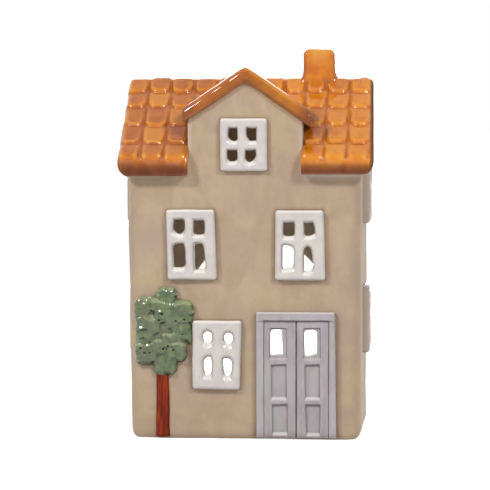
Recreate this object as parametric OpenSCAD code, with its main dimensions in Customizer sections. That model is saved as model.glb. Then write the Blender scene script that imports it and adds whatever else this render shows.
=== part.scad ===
// A ceramic tealight holder in the shape of a small town house.
// The shell is open at the back, where a tealight slides in over the flush floor.
// Units are millimetres. The front faces -Y, +Z is up and the origin is the middle of the base.

/* [Walls] */
// Width over the side walls
body_w = 101; // [94:1:108]
// Depth over the front and back walls
body_d = 72; // [66:1:80]
// Thickness of the clay walls
wall_t = 4; // [3:0.5:5]
// Radius of the upright corners, outside
corner_r = 5; // [4:0.5:7]
// Radius of the upright corners, inside
corner_in_r = 2.5; // [1.5:0.5:4]
// Radius of the two lower corners, seen from the front
foot_r = 4; // [2:0.5:5]
// Radius of the long lower edges, front and back
foot_edge_r = 0.8; // [0.4:0.1:1.2]
// Thickness of the floor
floor_t = 4; // [3:0.5:5]
// Height of the floor's hollow underside above the table
foot_rise = 1; // [0.5:0.25:2]

/* [Back opening] */
// Width of the arched opening
arch_w = 66; // [50:1:72]
// Height at which the arch's round top starts
arch_spring = 52; // [40:1:54]

/* [Roof] */
// How far the eaves stand out, front and back
eave_lip = 6; // [4:0.5:8]
// How far the roof stands out over the gable walls
rake_lip = 4; // [2:0.5:6]
// Slope of the main roof in degrees
roof_pitch = 40.4; // [38:0.2:43]
// Thickness of the roof
roof_t = 6.4; // [5:0.2:7]
// Height of the middle of the rounded eave
eave_h = 118.8; // [117:0.2:124]
// Radius of the rounded ridge
ridge_r = 2; // [1.6:0.1:2.6]
// Height of the rounded ridge over the point where the plain slopes meet
ridge_rise = 1.4; // [1.2:0.1:1.6]
// Radius of the roof's four corners, seen from the front
roof_corner_r = 3; // [1:0.5:4]
// Tiles side by side over the whole width
tile_columns = 11; // [9:1:13]
// Width of the groove between two tiles
tile_groove = 1.3; // [0.8:0.1:1.8]
// Height of a tile's lower edge over the roof
tile_h = 1.5; // [1:0.1:2]
// Height of a tile's upper edge over the roof
tile_head_h = 0.7; // [0.4:0.1:0.9]
// How far a tile laps over the row below
tile_lap = 0.9; // [0.4:0.1:1.5]
// Radius of a tile's two lower corners
tile_corner_r = 2.4; // [1.5:0.1:3]
// Radius of a tile's crowned back
tile_crown_r = 18; // [14:1:30]
// How far a hand-cut tile strays from its size
tile_stray = 0.3; // [0:0.05:0.4]
// How far a hand-cut tile is turned, in degrees
tile_turn = 1.5; // [0:0.5:2]

/* [Dormer] */
// Width over the dormer's cheeks
dormer_w = 50; // [44:1:56]
// Slope of the dormer's roof in degrees
dormer_pitch = 34.6; // [32:0.2:37]
// Thickness of the dormer's roof
dormer_t = 4.6; // [4:0.2:5.4]
// Height of the dormer's ridge over the main ridge
dormer_rise = 4.8; // [4:0.2:6]
// How far the dormer's roof stands out over its cheeks
dormer_rake = 2.5; // [2:0.1:3.5]
// How far the dormer's roof stands out over the front wall
dormer_lip = 2; // [1:0.25:3]
// Height of a dormer tile's lower edge over the roof
dormer_tile_h = 0.9; // [0.6:0.1:1.2]
// Height of a dormer tile's upper edge over the roof
dormer_tile_head_h = 0.4; // [0.2:0.1:0.5]
// Height of the dormer's rounded ridge over the point where its plain slopes meet
dormer_ridge_rise = 0.9; // [0.7:0.1:1.2]
// Tiles side by side along the dormer's ridge
dormer_columns = 4; // [3:1:5]
// How far the dormer's ridge is cut back behind
dormer_back_r = 3; // [2:0.5:4]

/* [Chimney] */
// Width of the chimney
chimney_w = 14.5; // [12:0.5:17]
// Depth of the chimney
chimney_d = 11; // [9:0.5:14]
// Height of the chimney's top over the ridge
chimney_h = 14.5; // [11:0.5:18]
// How far the chimney's middle lies in from the right wall
chimney_in = 20.2; // [16:0.1:26]
// Place of the chimney behind the ridge
chimney_y = 3; // [0:0.5:4]
// Radius of the chimney's edges
chimney_r = 2.4; // [1.5:0.1:3]
// Width of the collar at the chimney's foot
collar_w = 2; // [1:0.1:3]
// Height of the collar over the tiles
collar_h = 0.6; // [0.3:0.1:1]

/* [Windows] */
// Width of an upper or side window
window_w = 21.8; // [20:0.2:24]
// Height of an upper or side window
window_h = 30.6; // [28:0.2:33]
// Width of the attic window
attic_w = 20.6; // [18:0.2:22]
// Height of the attic window
attic_h = 23; // [20:0.5:25]
// Width of the ground floor window
ground_w = 21.2; // [19:0.2:23]
// Height of the ground floor window
ground_h = 30.2; // [27:0.2:32]
// How far a window stands out of its wall
window_t = 3; // [2.4:0.2:3.6]
// Radius of a window's edges
window_edge_r = 1.2; // [0.8:0.1:1.4]
// Depth of the sunk panes
pane_sink = 2; // [1.4:0.1:2.2]
// Ledge between a sunk pane and the hole cut in it
pane_ledge = 0.45; // [0.3:0.05:0.6]
// Radius of a pane's corners
pane_corner_r = 1.3; // [0.8:0.1:1.5]
// Place of the left upper window
upper_left_x = -23.4; // [-27:0.2:-20]
// Place of the right upper window
upper_right_x = 23.9; // [20:0.2:27]
// Height of the middle of the upper windows
upper_z = 84.8; // [82:0.2:88]
// Place of the ground floor window
ground_x = -11.9; // [-13:0.2:-10]
// Height of the middle of the ground floor window
ground_z = 36.7; // [33:0.2:38]
// Place of the attic window
attic_x = -0.5; // [-3:0.1:3]
// How far the attic window's middle lies under the gable's point
attic_drop = 27; // [24:0.5:29]
// Height of the middle of the lower side windows
side_low_z = 50; // [46:0.5:54]
// Height of the middle of the upper side windows
side_high_z = 107.8; // [104:0.5:112]

/* [Door] */
// Width over the door's frame
door_w = 35; // [33:0.5:36]
// Height over the door's frame
door_h = 54.9; // [50:0.1:57]
// Place of the door's middle
door_x = 22.5; // [21:0.5:24]
// Width of a jamb
jamb_w = 3.4; // [2.8:0.1:4]
// Height of the lintel
lintel_h = 3.9; // [3:0.1:5]
// How far the frame stands out of the wall
frame_t = 2.8; // [2.2:0.1:3.4]
// How far the leaves stand out of the wall
leaf_t = 1.9; // [1.5:0.1:2.1]
// Gap between the two leaves
leaf_gap = 0.6; // [0.3:0.1:1]
// Depth of the leaves' sunk panels
panel_sink = 0.9; // [0.5:0.1:1.2]
// Width of the panels in the leaves
panel_w = 7.4; // [6:0.1:8]

/* [Tree] */
// Width of the crown
crown_w = 26.6; // [24:0.2:28]
// Height of the crown
crown_h = 39; // [36:0.5:41]
// How far the crown stands out of the wall
crown_t = 3.6; // [2.8:0.1:4.4]
// Place of the tree's middle
tree_x = -35.4; // [-36:0.2:-34.6]
// Height of the crown's lower end
crown_z = 27.4; // [25:0.2:30]
// Radius of the trunk at the ground
trunk_r = 3.2; // [2.6:0.1:3.6]
// Radius of the trunk at the crown
trunk_top_r = 2.5; // [2:0.1:2.6]
// How deep the trunk's middle line lies in the wall
trunk_sink = 0.9; // [0.5:0.1:1.2]

/* [Tealight] */
// Diameter of the tealight's cup
cup_d = 38; // [36:0.5:40]
// Height of the tealight's cup
cup_h = 15; // [13:0.5:18]
// Thickness of the cup's sheet
cup_t = 0.4; // [0.3:0.05:0.6]
// Radius of the cup's rolled rim
cup_rim_r = 0.6; // [0.4:0.05:0.8]
// Depth of the wax under the cup's rim
wax_drop = 2.2; // [1.5:0.1:3]
// Clearance between the wax and the cup
wax_gap = 0.05; // [0.02:0.01:0.2]
// Diameter of the wick
wick_d = 1.6; // [1:0.1:2.2]
// Length of the wick over the wax
wick_out = 7; // [5:0.5:10]
// Diameter of the wick's clip
clip_d = 12; // [9:0.5:15]
// Thickness of the clip's sheet
clip_t = 0.4; // [0.3:0.05:0.6]
// Height of the clip's neck
clip_neck_h = 4; // [3:0.5:5]
// Clearance between the cup and the floor it slides on
cup_gap = 0.1; // [0.05:0.05:0.3]

/* [Hidden] */
$fn = 48;

clay_colour = "#B9A58A";
roof_colour = "#D07A2A";
window_colour = "#E4E0DF";
door_colour = "#A6A3A6";
bark_colour = "#8A3020";
leaf_colour = "#7E9272";

// One overrun serves every cut
overrun = 1;
// Hand-cut sizes are kept to this step, so that round corners meet straight edges exactly
grid = 0.01;
// Rays of the spheres in the rounded plates, which stay light
plate_fn = 20;

// Roof: the eave's rounded nose and the ridge, in the Y-Z plane
roof_w = body_w + 2 * rake_lip;
roof_d = body_d + 2 * eave_lip;
nose_y = (roof_d - roof_t) / 2;
ridge_mid = eave_h + nose_y * tan(roof_pitch);
ridge_out = ridge_mid + roof_t / 2 / cos(roof_pitch);
ridge_in = ridge_mid - roof_t / 2 / cos(roof_pitch);
slope_l = nose_y / cos(roof_pitch) + roof_t / 2 * tan(roof_pitch);
tile_pitch = roof_w / tile_columns;
// Where the rows of tiles start and end, from the ridge to the eave
row_shares = [0, 0.167, 0.356, 0.585, 0.807, 0.985];

// Dormer: the rounded ends of its roof and its point, in the X-Z plane
dormer_out = ridge_out + dormer_rise;
dormer_mid = dormer_out - dormer_t / 2 / cos(dormer_pitch);
dormer_in = dormer_out - dormer_t / cos(dormer_pitch);
dormer_nose_x = dormer_w / 2 + dormer_rake - dormer_t / 2;
dormer_nose_z = dormer_mid - dormer_nose_x * tan(dormer_pitch);
dormer_slope_l = dormer_nose_x / cos(dormer_pitch) + dormer_t / 2 * tan(dormer_pitch);
dormer_row_shares = [0, 0.32, 0.66, 0.96];
attic_z = dormer_in - attic_drop;

floor_z = foot_rise + floor_t;
chimney_x = body_w / 2 - chimney_in;
chimney_top = ridge_out + chimney_h;

// Panes of a window: left, right, bottom and top edges as shares of its size
tall_pane_shares = [
    [0.155, 0.405, 0.64, 0.87], [0.56, 0.81, 0.64, 0.87],
    [0.15, 0.41, 0.15, 0.52], [0.56, 0.82, 0.14, 0.52]
];
attic_pane_shares = [
    [0.15, 0.4, 0.56, 0.83], [0.56, 0.81, 0.56, 0.83],
    [0.145, 0.4, 0.18, 0.42], [0.54, 0.8, 0.17, 0.42]
];
ground_pane_shares = [
    [0.18, 0.41, 0.64, 0.86], [0.6, 0.83, 0.63, 0.85],
    [0.18, 0.4, 0.17, 0.51], [0.6, 0.83, 0.16, 0.51]
];
// Panels of a door leaf: bottom and top edges as shares of the door's height
leaf_pane_shares = [0.645, 0.875];
leaf_panel_shares = [[0.055, 0.265], [0.35, 0.59]];

// How far each corner of a hand-cut window lies off its place, as shares of its width
corner_stray_shares = [[0.02, 0.01], [-0.025, 0.005], [0.01, -0.012], [-0.015, -0.01]];

// Lobes of the crown: place and radius as shares of its width and height
lobe_shares = [
    [0.52, 0.865, 0.2], [0.2, 0.775, 0.2], [0.8, 0.72, 0.2], [0.785, 0.53, 0.195],
    [0.7, 0.32, 0.21], [0.52, 0.14, 0.205], [0.2, 0.27, 0.2], [0.21, 0.51, 0.21]
];
// Clumps in the middle of the crown: place and radius as above, and height as a share of its thickness
clump_shares = [
    [0.5, 0.5, 0.38, 0.8], [0.36, 0.7, 0.19, 1], [0.62, 0.62, 0.18, 0.97],
    [0.35, 0.42, 0.18, 0.98], [0.58, 0.4, 0.17, 0.93], [0.44, 0.27, 0.17, 0.9]
];
// Height of the crown's pads and of its outer lobes, as shares of its thickness
pad_share = 0.36;
lobe_t_share = 0.82;

// A rectangle with round corners, centred
module rounded_rect(w, d, r) {
    square([w - 2 * r, d], center = true);
    square([w, d - 2 * r], center = true);
    for (sx = [-1, 1], sy = [-1, 1])
        translate([sx * (w / 2 - r), sy * (d / 2 - r)]) circle(r = r);
}

// An upright rectangle on the X axis whose lower corners are round
module footed_rect(w, h, r) {
    translate([-w / 2, r]) square([w, h - r]);
    translate([r - w / 2, 0]) square([w - 2 * r, h]);
    for (s = [-1, 1]) translate([s * (w / 2 - r), r]) circle(r = r);
}

// A flat outline drawn in X-Z, stretched along Y from one place to another
module along_y(y0, y1) {
    translate([0, y1, 0]) rotate([90, 0, 0]) linear_extrude(y1 - y0) children();
}

// A flat outline drawn in Y-Z, stretched along X over a width about the middle
module along_x(w) {
    translate([-w / 2, 0, 0]) rotate([90, 0, 90]) linear_extrude(w) children();
}

// The section of a saddle roof: two strips that meet at the ridge, with round lower ends
module saddle_section(nose, nose_z, mid, pitch, t) {
    lift = t / 2 / cos(pitch);
    for (s = [-1, 1]) {
        translate([s * nose, nose_z]) circle(d = t);
        polygon([
            [0, mid + lift],
            [s * (nose + t / 2 * sin(pitch)), nose_z + t / 2 * cos(pitch)],
            [s * (nose - t / 2 * sin(pitch)), nose_z - t / 2 * cos(pitch)],
            [0, mid - lift]
        ]);
    }
}

// The section of a rounded ridge, sunk between two slopes up to a height
module ridge_roll(top) translate([0, top - ridge_r]) circle(r = ridge_r);

module roof_section() saddle_section(nose_y, eave_h, ridge_mid, roof_pitch, roof_t);

module dormer_section() {
    saddle_section(dormer_nose_x, dormer_nose_z, dormer_mid, dormer_pitch, dormer_t);
}

// All that lies under the middle of the main roof's slopes, within a depth
module under_roof(d) {
    polygon([
        [-d / 2, 0],
        [d / 2, 0],
        [d / 2, ridge_mid - d / 2 * tan(roof_pitch)],
        [0, ridge_mid],
        [-d / 2, ridge_mid - d / 2 * tan(roof_pitch)]
    ]);
}

// All that lies over the main roof's underside, less a drop, up to a height
module over_roof(d, drop, top) {
    polygon([
        [0, ridge_in - drop],
        [d / 2, ridge_in - drop - d / 2 * tan(roof_pitch)],
        [d / 2, top],
        [-d / 2, top],
        [-d / 2, ridge_in - drop - d / 2 * tan(roof_pitch)]
    ]);
}

// The dormer's outline from the front, under the middle of its roof
module under_dormer(w) {
    foot = eave_h - roof_t;
    polygon([
        [-w / 2, foot],
        [w / 2, foot],
        [w / 2, dormer_mid - w / 2 * tan(dormer_pitch)],
        [0, dormer_mid],
        [-w / 2, dormer_mid - w / 2 * tan(dormer_pitch)]
    ]);
}

// Places for what is luted to the walls: local Z points out of the wall
module on_front(x, z) translate([x, -body_d / 2, z]) rotate([90, 0, 0]) children();

module on_right(z) translate([body_w / 2, 0, z]) rotate([90, 0, 90]) children();

module on_left(z) translate([-body_w / 2, 0, z]) rotate([90, 0, -90]) children();

module at_attic() on_front(attic_x, attic_z) children();

module at_upper(x) on_front(x, upper_z) children();

module at_ground() on_front(ground_x, ground_z) children();

module at_door() on_front(door_x, foot_edge_r) children();

// One pane's outline, drawn in by a ledge
module pane_outline(w, h, share, ledge) {
    pane_w = (share[1] - share[0]) * w - 2 * ledge;
    pane_h = (share[3] - share[2]) * h - 2 * ledge;
    translate([(share[0] + share[1] - 1) / 2 * w, (share[2] + share[3] - 1) / 2 * h])
        rounded_rect(pane_w, pane_h, min(pane_corner_r, pane_w / 2 - ledge));
}

// The holes in the wall behind a window
module pane_cuts(w, h, shares) {
    translate([0, 0, -wall_t - overrun])
        linear_extrude(wall_t + 2 * overrun)
            for (share = shares) pane_outline(w, h, share, 0);
}

// A window: a plate with soft edges and slightly stray corners, and four sunk panes cut through
module window(w, h, shares) {
    color(window_colour) difference() {
        hull()
            for (i = [0:3]) {
                sx = (i % 2) * 2 - 1;
                sy = floor(i / 2) * 2 - 1;
                translate([
                    sx * (w / 2 - window_edge_r) + corner_stray_shares[i][0] * window_edge_r,
                    sy * (h / 2 - window_edge_r) + corner_stray_shares[i][1] * h,
                    0
                ]) {
                    cylinder(h = window_t - window_edge_r, r = window_edge_r, $fn = plate_fn);
                    translate([0, 0, window_t - window_edge_r])
                        sphere(r = window_edge_r, $fn = plate_fn);
                }
            }
        translate([0, 0, -window_edge_r - overrun])
            linear_extrude(window_edge_r + overrun)
                square([w + 2 * window_edge_r, h + 2 * window_edge_r], center = true);
        translate([0, 0, window_t - pane_sink])
            linear_extrude(pane_sink + overrun)
                for (share = shares) pane_outline(w, h, share, 0);
        translate([0, 0, -overrun])
            linear_extrude(window_t + 2 * overrun)
                for (share = shares) pane_outline(w, h, share, pane_ledge);
    }
}

// Walls: a rounded box with two gables and the wall dormer, hollow and open at the back
module walls_outside() {
    intersection() {
        linear_extrude(ridge_out) rounded_rect(body_w, body_d, corner_r);
        along_x(body_w)
            difference() {
                intersection() {
                    under_roof(body_d);
                    footed_rect(body_d, ridge_out, foot_edge_r);
                }
                roof_section();
            }
        along_y(-body_d / 2, body_d / 2) footed_rect(body_w, ridge_out, foot_r);
    }
    intersection() {
        along_y(-body_d / 2, 0)
            difference() {
                under_dormer(dormer_w);
                dormer_section();
            }
        along_x(dormer_w) over_roof(body_d, wall_t, dormer_out);
    }
}

module walls_inside() {
    intersection() {
        linear_extrude(ridge_out)
            rounded_rect(body_w - 2 * wall_t, body_d - 2 * wall_t, corner_in_r);
        along_x(body_w)
            difference() {
                under_roof(body_d);
                roof_section();
            }
    }
    intersection() {
        along_y(wall_t - body_d / 2, overrun) under_dormer(dormer_w - 2 * wall_t);
        along_x(dormer_w) over_roof(body_d, wall_t, dormer_out);
    }
}

module arch_cut() {
    along_y(body_d / 2 - wall_t - overrun, body_d / 2 + overrun) {
        translate([-arch_w / 2, floor_z]) square([arch_w, arch_spring - floor_z]);
        intersection() {
            translate([0, arch_spring]) circle(d = arch_w);
            translate([-arch_w / 2, arch_spring - overrun]) square([arch_w, arch_w]);
        }
    }
}

module house_walls() {
    color(clay_colour) difference() {
        walls_outside();
        walls_inside();
        arch_cut();
        at_attic() pane_cuts(attic_w, attic_h, attic_pane_shares);
        for (x = [upper_left_x, upper_right_x])
            at_upper(x) pane_cuts(window_w, window_h, tall_pane_shares);
        at_ground() pane_cuts(ground_w, ground_h, ground_pane_shares);
        for (z = [side_low_z, side_high_z]) {
            on_right(z) pane_cuts(window_w, window_h, tall_pane_shares);
            on_left(z) pane_cuts(window_w, window_h, tall_pane_shares);
        }
        at_door() door_pane_cuts();
    }
}

// Floor: a slab between the walls, raised off the table by the rim
module floor_plate() {
    color(clay_colour)
        translate([0, 0, foot_rise])
            linear_extrude(floor_t)
                rounded_rect(body_w - 2 * wall_t, body_d - 2 * wall_t, corner_in_r);
}

function on_grid(v) = round(v / grid) * grid;

// A tile's outline from its upper edge down, with two round lower corners
module tile_outline(w, l) {
    r = min(tile_corner_r, w / 2 - tile_groove / 2);
    translate([-w / 2, r - l]) square([w, l - r]);
    translate([r - w / 2, -l]) square([w - 2 * r, l]);
    for (s = [-1, 1]) translate([s * (w / 2 - r), r - l]) circle(r = r);
}

// A crowned tile that rises from its upper edge to its lower edge
module tile(w, l, head_h, tail_h) {
    tilt = atan((tail_h - head_h) / l);
    intersection() {
        translate([0, 0, -tail_h]) linear_extrude(3 * tail_h) tile_outline(w, l);
        translate([0, 0, head_h])
            rotate([-tilt, 0, 0])
                translate([0, 0, -tile_crown_r])
                    rotate([90, 0, 0])
                        cylinder(h = 3 * l, r = tile_crown_r, center = true);
    }
}

// The tiles of one slope: x along the ridge, y up the slope, z out of it
module tile_field(x0, x1, columns, length, pitch, shares, head_h, tail_h, seed) {
    step = (x1 - x0) / columns;
    rows = len(shares) - 1;
    start = head_h * tan(pitch);
    stray = rands(-1, 1, 3 * columns * rows, seed);
    for (i = [0:columns - 1], j = [0:rows - 1]) {
        k = 3 * (i * rows + j);
        top = shares[j] * length - (j == 0 ? start : 0);
        l = on_grid(shares[j + 1] * length - top + (j == rows - 1 ? 0 : tile_lap));
        w = on_grid(step - tile_groove + stray[k + 2] * tile_stray);
        translate([x0 + (i + 0.5) * step + stray[k] * tile_stray / 2, -top, 0])
            rotate([0, 0, stray[k + 1] * tile_turn])
                tile(w, l, head_h, tail_h);
    }
}

// What the dormer takes out of the main roof
module dormer_notch() {
    along_y(-roof_d / 2 - overrun, 0) {
        under_dormer(dormer_w);
        dormer_section();
    }
}

// The strip beside the dormer that the main roof's tiles leave bare, down to the valleys
module dormer_margin() {
    lift = dormer_out - dormer_mid + tile_h / cos(roof_pitch);
    along_y(-roof_d / 2 - overrun, 0)
        translate([0, lift]) under_dormer(dormer_w - overrun);
}

// The room that the chimney's foot takes up on the roof
module chimney_foot() {
    foot_w = chimney_w + 2 * collar_w;
    foot_d = chimney_d + 2 * collar_w;
    foot_z = ridge_mid - (chimney_y + foot_d) * tan(roof_pitch);
    translate([chimney_x, chimney_y, foot_z])
        linear_extrude(chimney_top - foot_z) rounded_rect(foot_w, foot_d, chimney_r);
}

// Main roof: two tiled slopes with rounded eaves, notched for the dormer
module main_roof() {
    color(roof_colour) difference() {
        intersection() {
            union() {
                along_x(roof_w + 2 * overrun) {
                    roof_section();
                    ridge_roll(ridge_out + ridge_rise);
                }
                difference() {
                    for (side = [0, 1])
                        rotate([0, 0, 180 * side])
                            translate([0, 0, ridge_out])
                                rotate([roof_pitch, 0, 0])
                                    tile_field(
                                        -roof_w / 2, roof_w / 2, tile_columns, slope_l,
                                        roof_pitch, row_shares, tile_head_h, tile_h, 7 + side
                                    );
                    chimney_foot();
                    dormer_margin();
                }
            }
            along_y(-roof_d, roof_d)
                translate([0, (eave_h - roof_t / 2 + ridge_out + tile_h) / 2])
                    rounded_rect(roof_w, ridge_out + tile_h - eave_h + roof_t / 2, roof_corner_r);
        }
        dormer_notch();
    }
}

// Dormer roof: two tiled slopes over the front gable, let into the main roof
module dormer_roof() {
    front = -body_d / 2 - dormer_lip;
    field_mid = (front + dormer_t / 4) / 2;
    color(roof_colour) difference() {
        union() {
            intersection() {
                along_y(front, 0) {
                    dormer_section();
                    ridge_roll(dormer_out + dormer_ridge_rise);
                }
                along_x(roof_w) over_roof(roof_d + 2 * dormer_lip, 0, 2 * dormer_out);
            }
            difference() {
                for (side = [-1, 1])
                    translate([0, field_mid, dormer_out])
                        rotate([0, 0, 90 * side])
                            rotate([dormer_pitch, 0, 0])
                                tile_field(
                                    field_mid, -field_mid, dormer_columns, dormer_slope_l,
                                    dormer_pitch, dormer_row_shares,
                                    dormer_tile_head_h, dormer_tile_h, 21 + side
                                );
                main_slopes(tile_h + dormer_tile_h);
            }
        }
        translate([-dormer_w / 2, -dormer_back_r, dormer_out])
            rotate([-45, 0, 0])
                cube([dormer_w, 4 * dormer_back_r, 4 * dormer_back_r]);
    }
}

// All that lies under the main slopes and a height over them
module main_slopes(h) {
    lift = h / cos(roof_pitch);
    along_x(roof_w)
        polygon([
            [0, ridge_out + lift],
            [roof_d, ridge_out + lift - roof_d * tan(roof_pitch)],
            [-roof_d, ridge_out + lift - roof_d * tan(roof_pitch)]
        ]);
}

// Chimney: a soft block just behind the ridge, in a low collar that follows the slopes
module chimney() {
    color(roof_colour) difference() {
        union() {
            translate([chimney_x, chimney_y, 0])
                intersection() {
                    linear_extrude(chimney_top) rounded_rect(chimney_w, chimney_d, chimney_r);
                    along_y(-chimney_d, chimney_d) round_topped(chimney_w);
                    along_x(2 * chimney_w) round_topped(chimney_d);
                }
            intersection() {
                chimney_foot();
                main_slopes(tile_h + collar_h);
            }
        }
        along_x(roof_w) under_roof(roof_d);
        along_x(roof_w) {
            roof_section();
            ridge_roll(ridge_out + ridge_rise);
        }
    }
}

// The chimney's outline, with round upper corners
module round_topped(w) {
    translate([0, chimney_top]) mirror([0, 1]) footed_rect(w, chimney_top, chimney_r);
}

module window_attic() at_attic() window(attic_w, attic_h, attic_pane_shares);

module window_upper_left() at_upper(upper_left_x) window(window_w, window_h, tall_pane_shares);

module window_upper_right() at_upper(upper_right_x) window(window_w, window_h, tall_pane_shares);

module window_ground() at_ground() window(ground_w, ground_h, ground_pane_shares);

module side_window() window(window_w, window_h, tall_pane_shares);

// Door: a frame round two panelled leaves, each with one pane cut through
leaf_w = (door_w - 2 * jamb_w - leaf_gap) / 2;
leaf_h = door_h - lintel_h;
leaf_x = (leaf_w + leaf_gap) / 2;

module leaf_panel(share, ledge) {
    h = (share[1] - share[0]) * door_h - 2 * ledge;
    translate([0, (share[0] + share[1]) / 2 * door_h])
        rounded_rect(panel_w - 2 * ledge, h, pane_corner_r - ledge);
}

module door_pane_cuts() {
    translate([0, 0, -wall_t - overrun])
        linear_extrude(wall_t + 2 * overrun)
            for (s = [-1, 1]) translate([s * leaf_x, 0]) leaf_panel(leaf_pane_shares, 0);
}

module door_frame() {
    r = window_edge_r;
    color(door_colour)
        at_door()
            difference() {
                hull()
                    for (sx = [-1, 1]) {
                        translate([sx * (door_w / 2 - r), door_h - r, 0]) {
                            cylinder(h = frame_t - r, r = r, $fn = plate_fn);
                            translate([0, 0, frame_t - r]) sphere(r = r, $fn = plate_fn);
                        }
                        translate([sx * (door_w / 2 - r), 0, 0])
                            rotate([-90, 0, 0]) {
                                translate([0, r - frame_t, 0])
                                    cylinder(h = r, r = r, $fn = plate_fn);
                                translate([-r, r - frame_t, 0])
                                    cube([2 * r, frame_t - r, r]);
                            }
                    }
                translate([0, leaf_h / 2, 0])
                    cube([door_w - 2 * jamb_w, leaf_h, 3 * frame_t], center = true);
                translate([-door_w, -overrun, -r - overrun])
                    cube([2 * door_w, door_h + 2 * overrun, r + overrun]);
                translate([-door_w, -r - overrun, -overrun])
                    cube([2 * door_w, r + overrun, frame_t + 2 * overrun]);
            }
}

module door_leaf(side) {
    color(door_colour)
        at_door()
            translate([side * leaf_x, 0, 0])
                difference() {
                    translate([-leaf_w / 2, 0, 0]) cube([leaf_w, leaf_h, leaf_t]);
                    translate([0, 0, leaf_t - panel_sink])
                        linear_extrude(panel_sink + overrun) {
                            leaf_panel(leaf_pane_shares, 0);
                            for (share = leaf_panel_shares) leaf_panel(share, 0);
                        }
                    translate([0, 0, -overrun])
                        linear_extrude(leaf_t + 2 * overrun)
                            leaf_panel(leaf_pane_shares, 2 * pane_ledge);
                    for (share = leaf_panel_shares)
                        translate([0, 0, leaf_t - panel_sink - pane_ledge])
                            linear_extrude(pane_ledge + overrun) leaf_panel(share, 2 * pane_ledge);
                }
}

// One lobe of the crown: a low pad with a domed top
module lobe(share, t) {
    r = on_grid(share[2] * crown_w);
    dome_t = on_grid(t - crown_t * pad_share);
    ball_r = on_grid((r * r + dome_t * dome_t) / (2 * dome_t));
    translate([on_grid((share[0] - 0.5) * crown_w), on_grid(share[1] * crown_h), 0])
        rotate_extrude()
            intersection() {
                translate([0, on_grid(t) - ball_r]) circle(r = ball_r);
                square([r, on_grid(t)]);
            }
}

module crown_shape() {
    for (share = lobe_shares) lobe(share, crown_t * lobe_t_share);
    for (share = clump_shares) lobe(share, crown_t * share[3]);
}

module at_crown() on_front(tree_x, crown_z) children();

// The crown stops where it meets the ground floor window
module tree_crown() {
    color(leaf_colour) difference() {
        at_crown() crown_shape();
        at_ground()
            cube([ground_w, ground_h, 2 * (crown_t + overrun)], center = true);
    }
}

// Trunk: a tapered rod half sunk in the wall, which ends in the crown
module tree_trunk() {
    trunk_h = crown_z + lobe_shares[5][1] * crown_h - foot_edge_r;
    color(bark_colour) difference() {
        translate([tree_x, trunk_sink - body_d / 2, foot_edge_r])
            cylinder(h = trunk_h, r1 = trunk_r, r2 = trunk_top_r);
        translate([tree_x - 2 * trunk_r, -body_d / 2, 0])
            cube([4 * trunk_r, 2 * trunk_r, 2 * trunk_h]);
        at_crown() crown_shape();
    }
}

// Tealight: a pressed cup, the wax in it, and a wick that its clip holds upright
cup_z = floor_z + cup_gap;
cup_in_r = cup_d / 2 - cup_t;
wax_top = cup_z + cup_h - wax_drop;
clip_neck_r = wick_d / 2 + clip_t;

module tealight_cup() {
    color("#C9CACC")
        translate([0, 0, cup_z]) {
            rotate_extrude() {
                square([cup_d / 2, cup_t]);
                translate([cup_in_r, 0]) square([cup_t, cup_h - cup_rim_r]);
                translate([cup_in_r, cup_h - cup_rim_r]) circle(r = cup_rim_r);
            }
        }
}

module tealight_wick_clip() {
    color("#A9AAAC")
        translate([0, 0, cup_z + cup_t])
            rotate_extrude() {
                translate([wick_d / 2, 0]) square([(clip_d - wick_d) / 2, clip_t]);
                translate([wick_d / 2, 0]) square([clip_t, clip_neck_h]);
            }
}

module tealight_wick() {
    color("#EFE9DA")
        translate([0, 0, cup_z + cup_t])
            cylinder(h = wax_top + wick_out - cup_z - cup_t, d = wick_d);
}

module tealight_wax() {
    color("#F3EFE4") difference() {
        translate([0, 0, cup_z + cup_t])
            cylinder(h = wax_top - cup_z - cup_t, r = cup_in_r - wax_gap);
        translate([0, 0, cup_z]) cylinder(h = 2 * cup_h, d = wick_d);
        translate([0, 0, cup_z]) {
            cylinder(h = cup_t + clip_t, d = clip_d);
            cylinder(h = cup_t + clip_neck_h, r = clip_neck_r);
        }
        translate([0, 0, cup_z + cup_h - cup_rim_r])
            rotate_extrude()
                translate([cup_in_r, 0]) circle(r = cup_rim_r + wax_gap);
    }
}

house_walls();
floor_plate();
main_roof();
dormer_roof();
chimney();
window_attic();
window_upper_left();
window_upper_right();
window_ground();
on_right(side_low_z) side_window();  // window_right_lower
on_right(side_high_z) side_window();  // window_right_upper
on_left(side_low_z) side_window();  // window_left_lower
on_left(side_high_z) side_window();  // window_left_upper
door_frame();
door_leaf(-1);  // door_leaf_left
door_leaf(1);  // door_leaf_right
tree_trunk();
tree_crown();
tealight_cup();
tealight_wax();
tealight_wick();
tealight_wick_clip();
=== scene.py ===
"""A glazed ceramic house for a tealight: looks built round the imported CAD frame.

Shapes are carved from signed distance fields in millimetres and then scaled to metres.
"""
import itertools
import math

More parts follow.
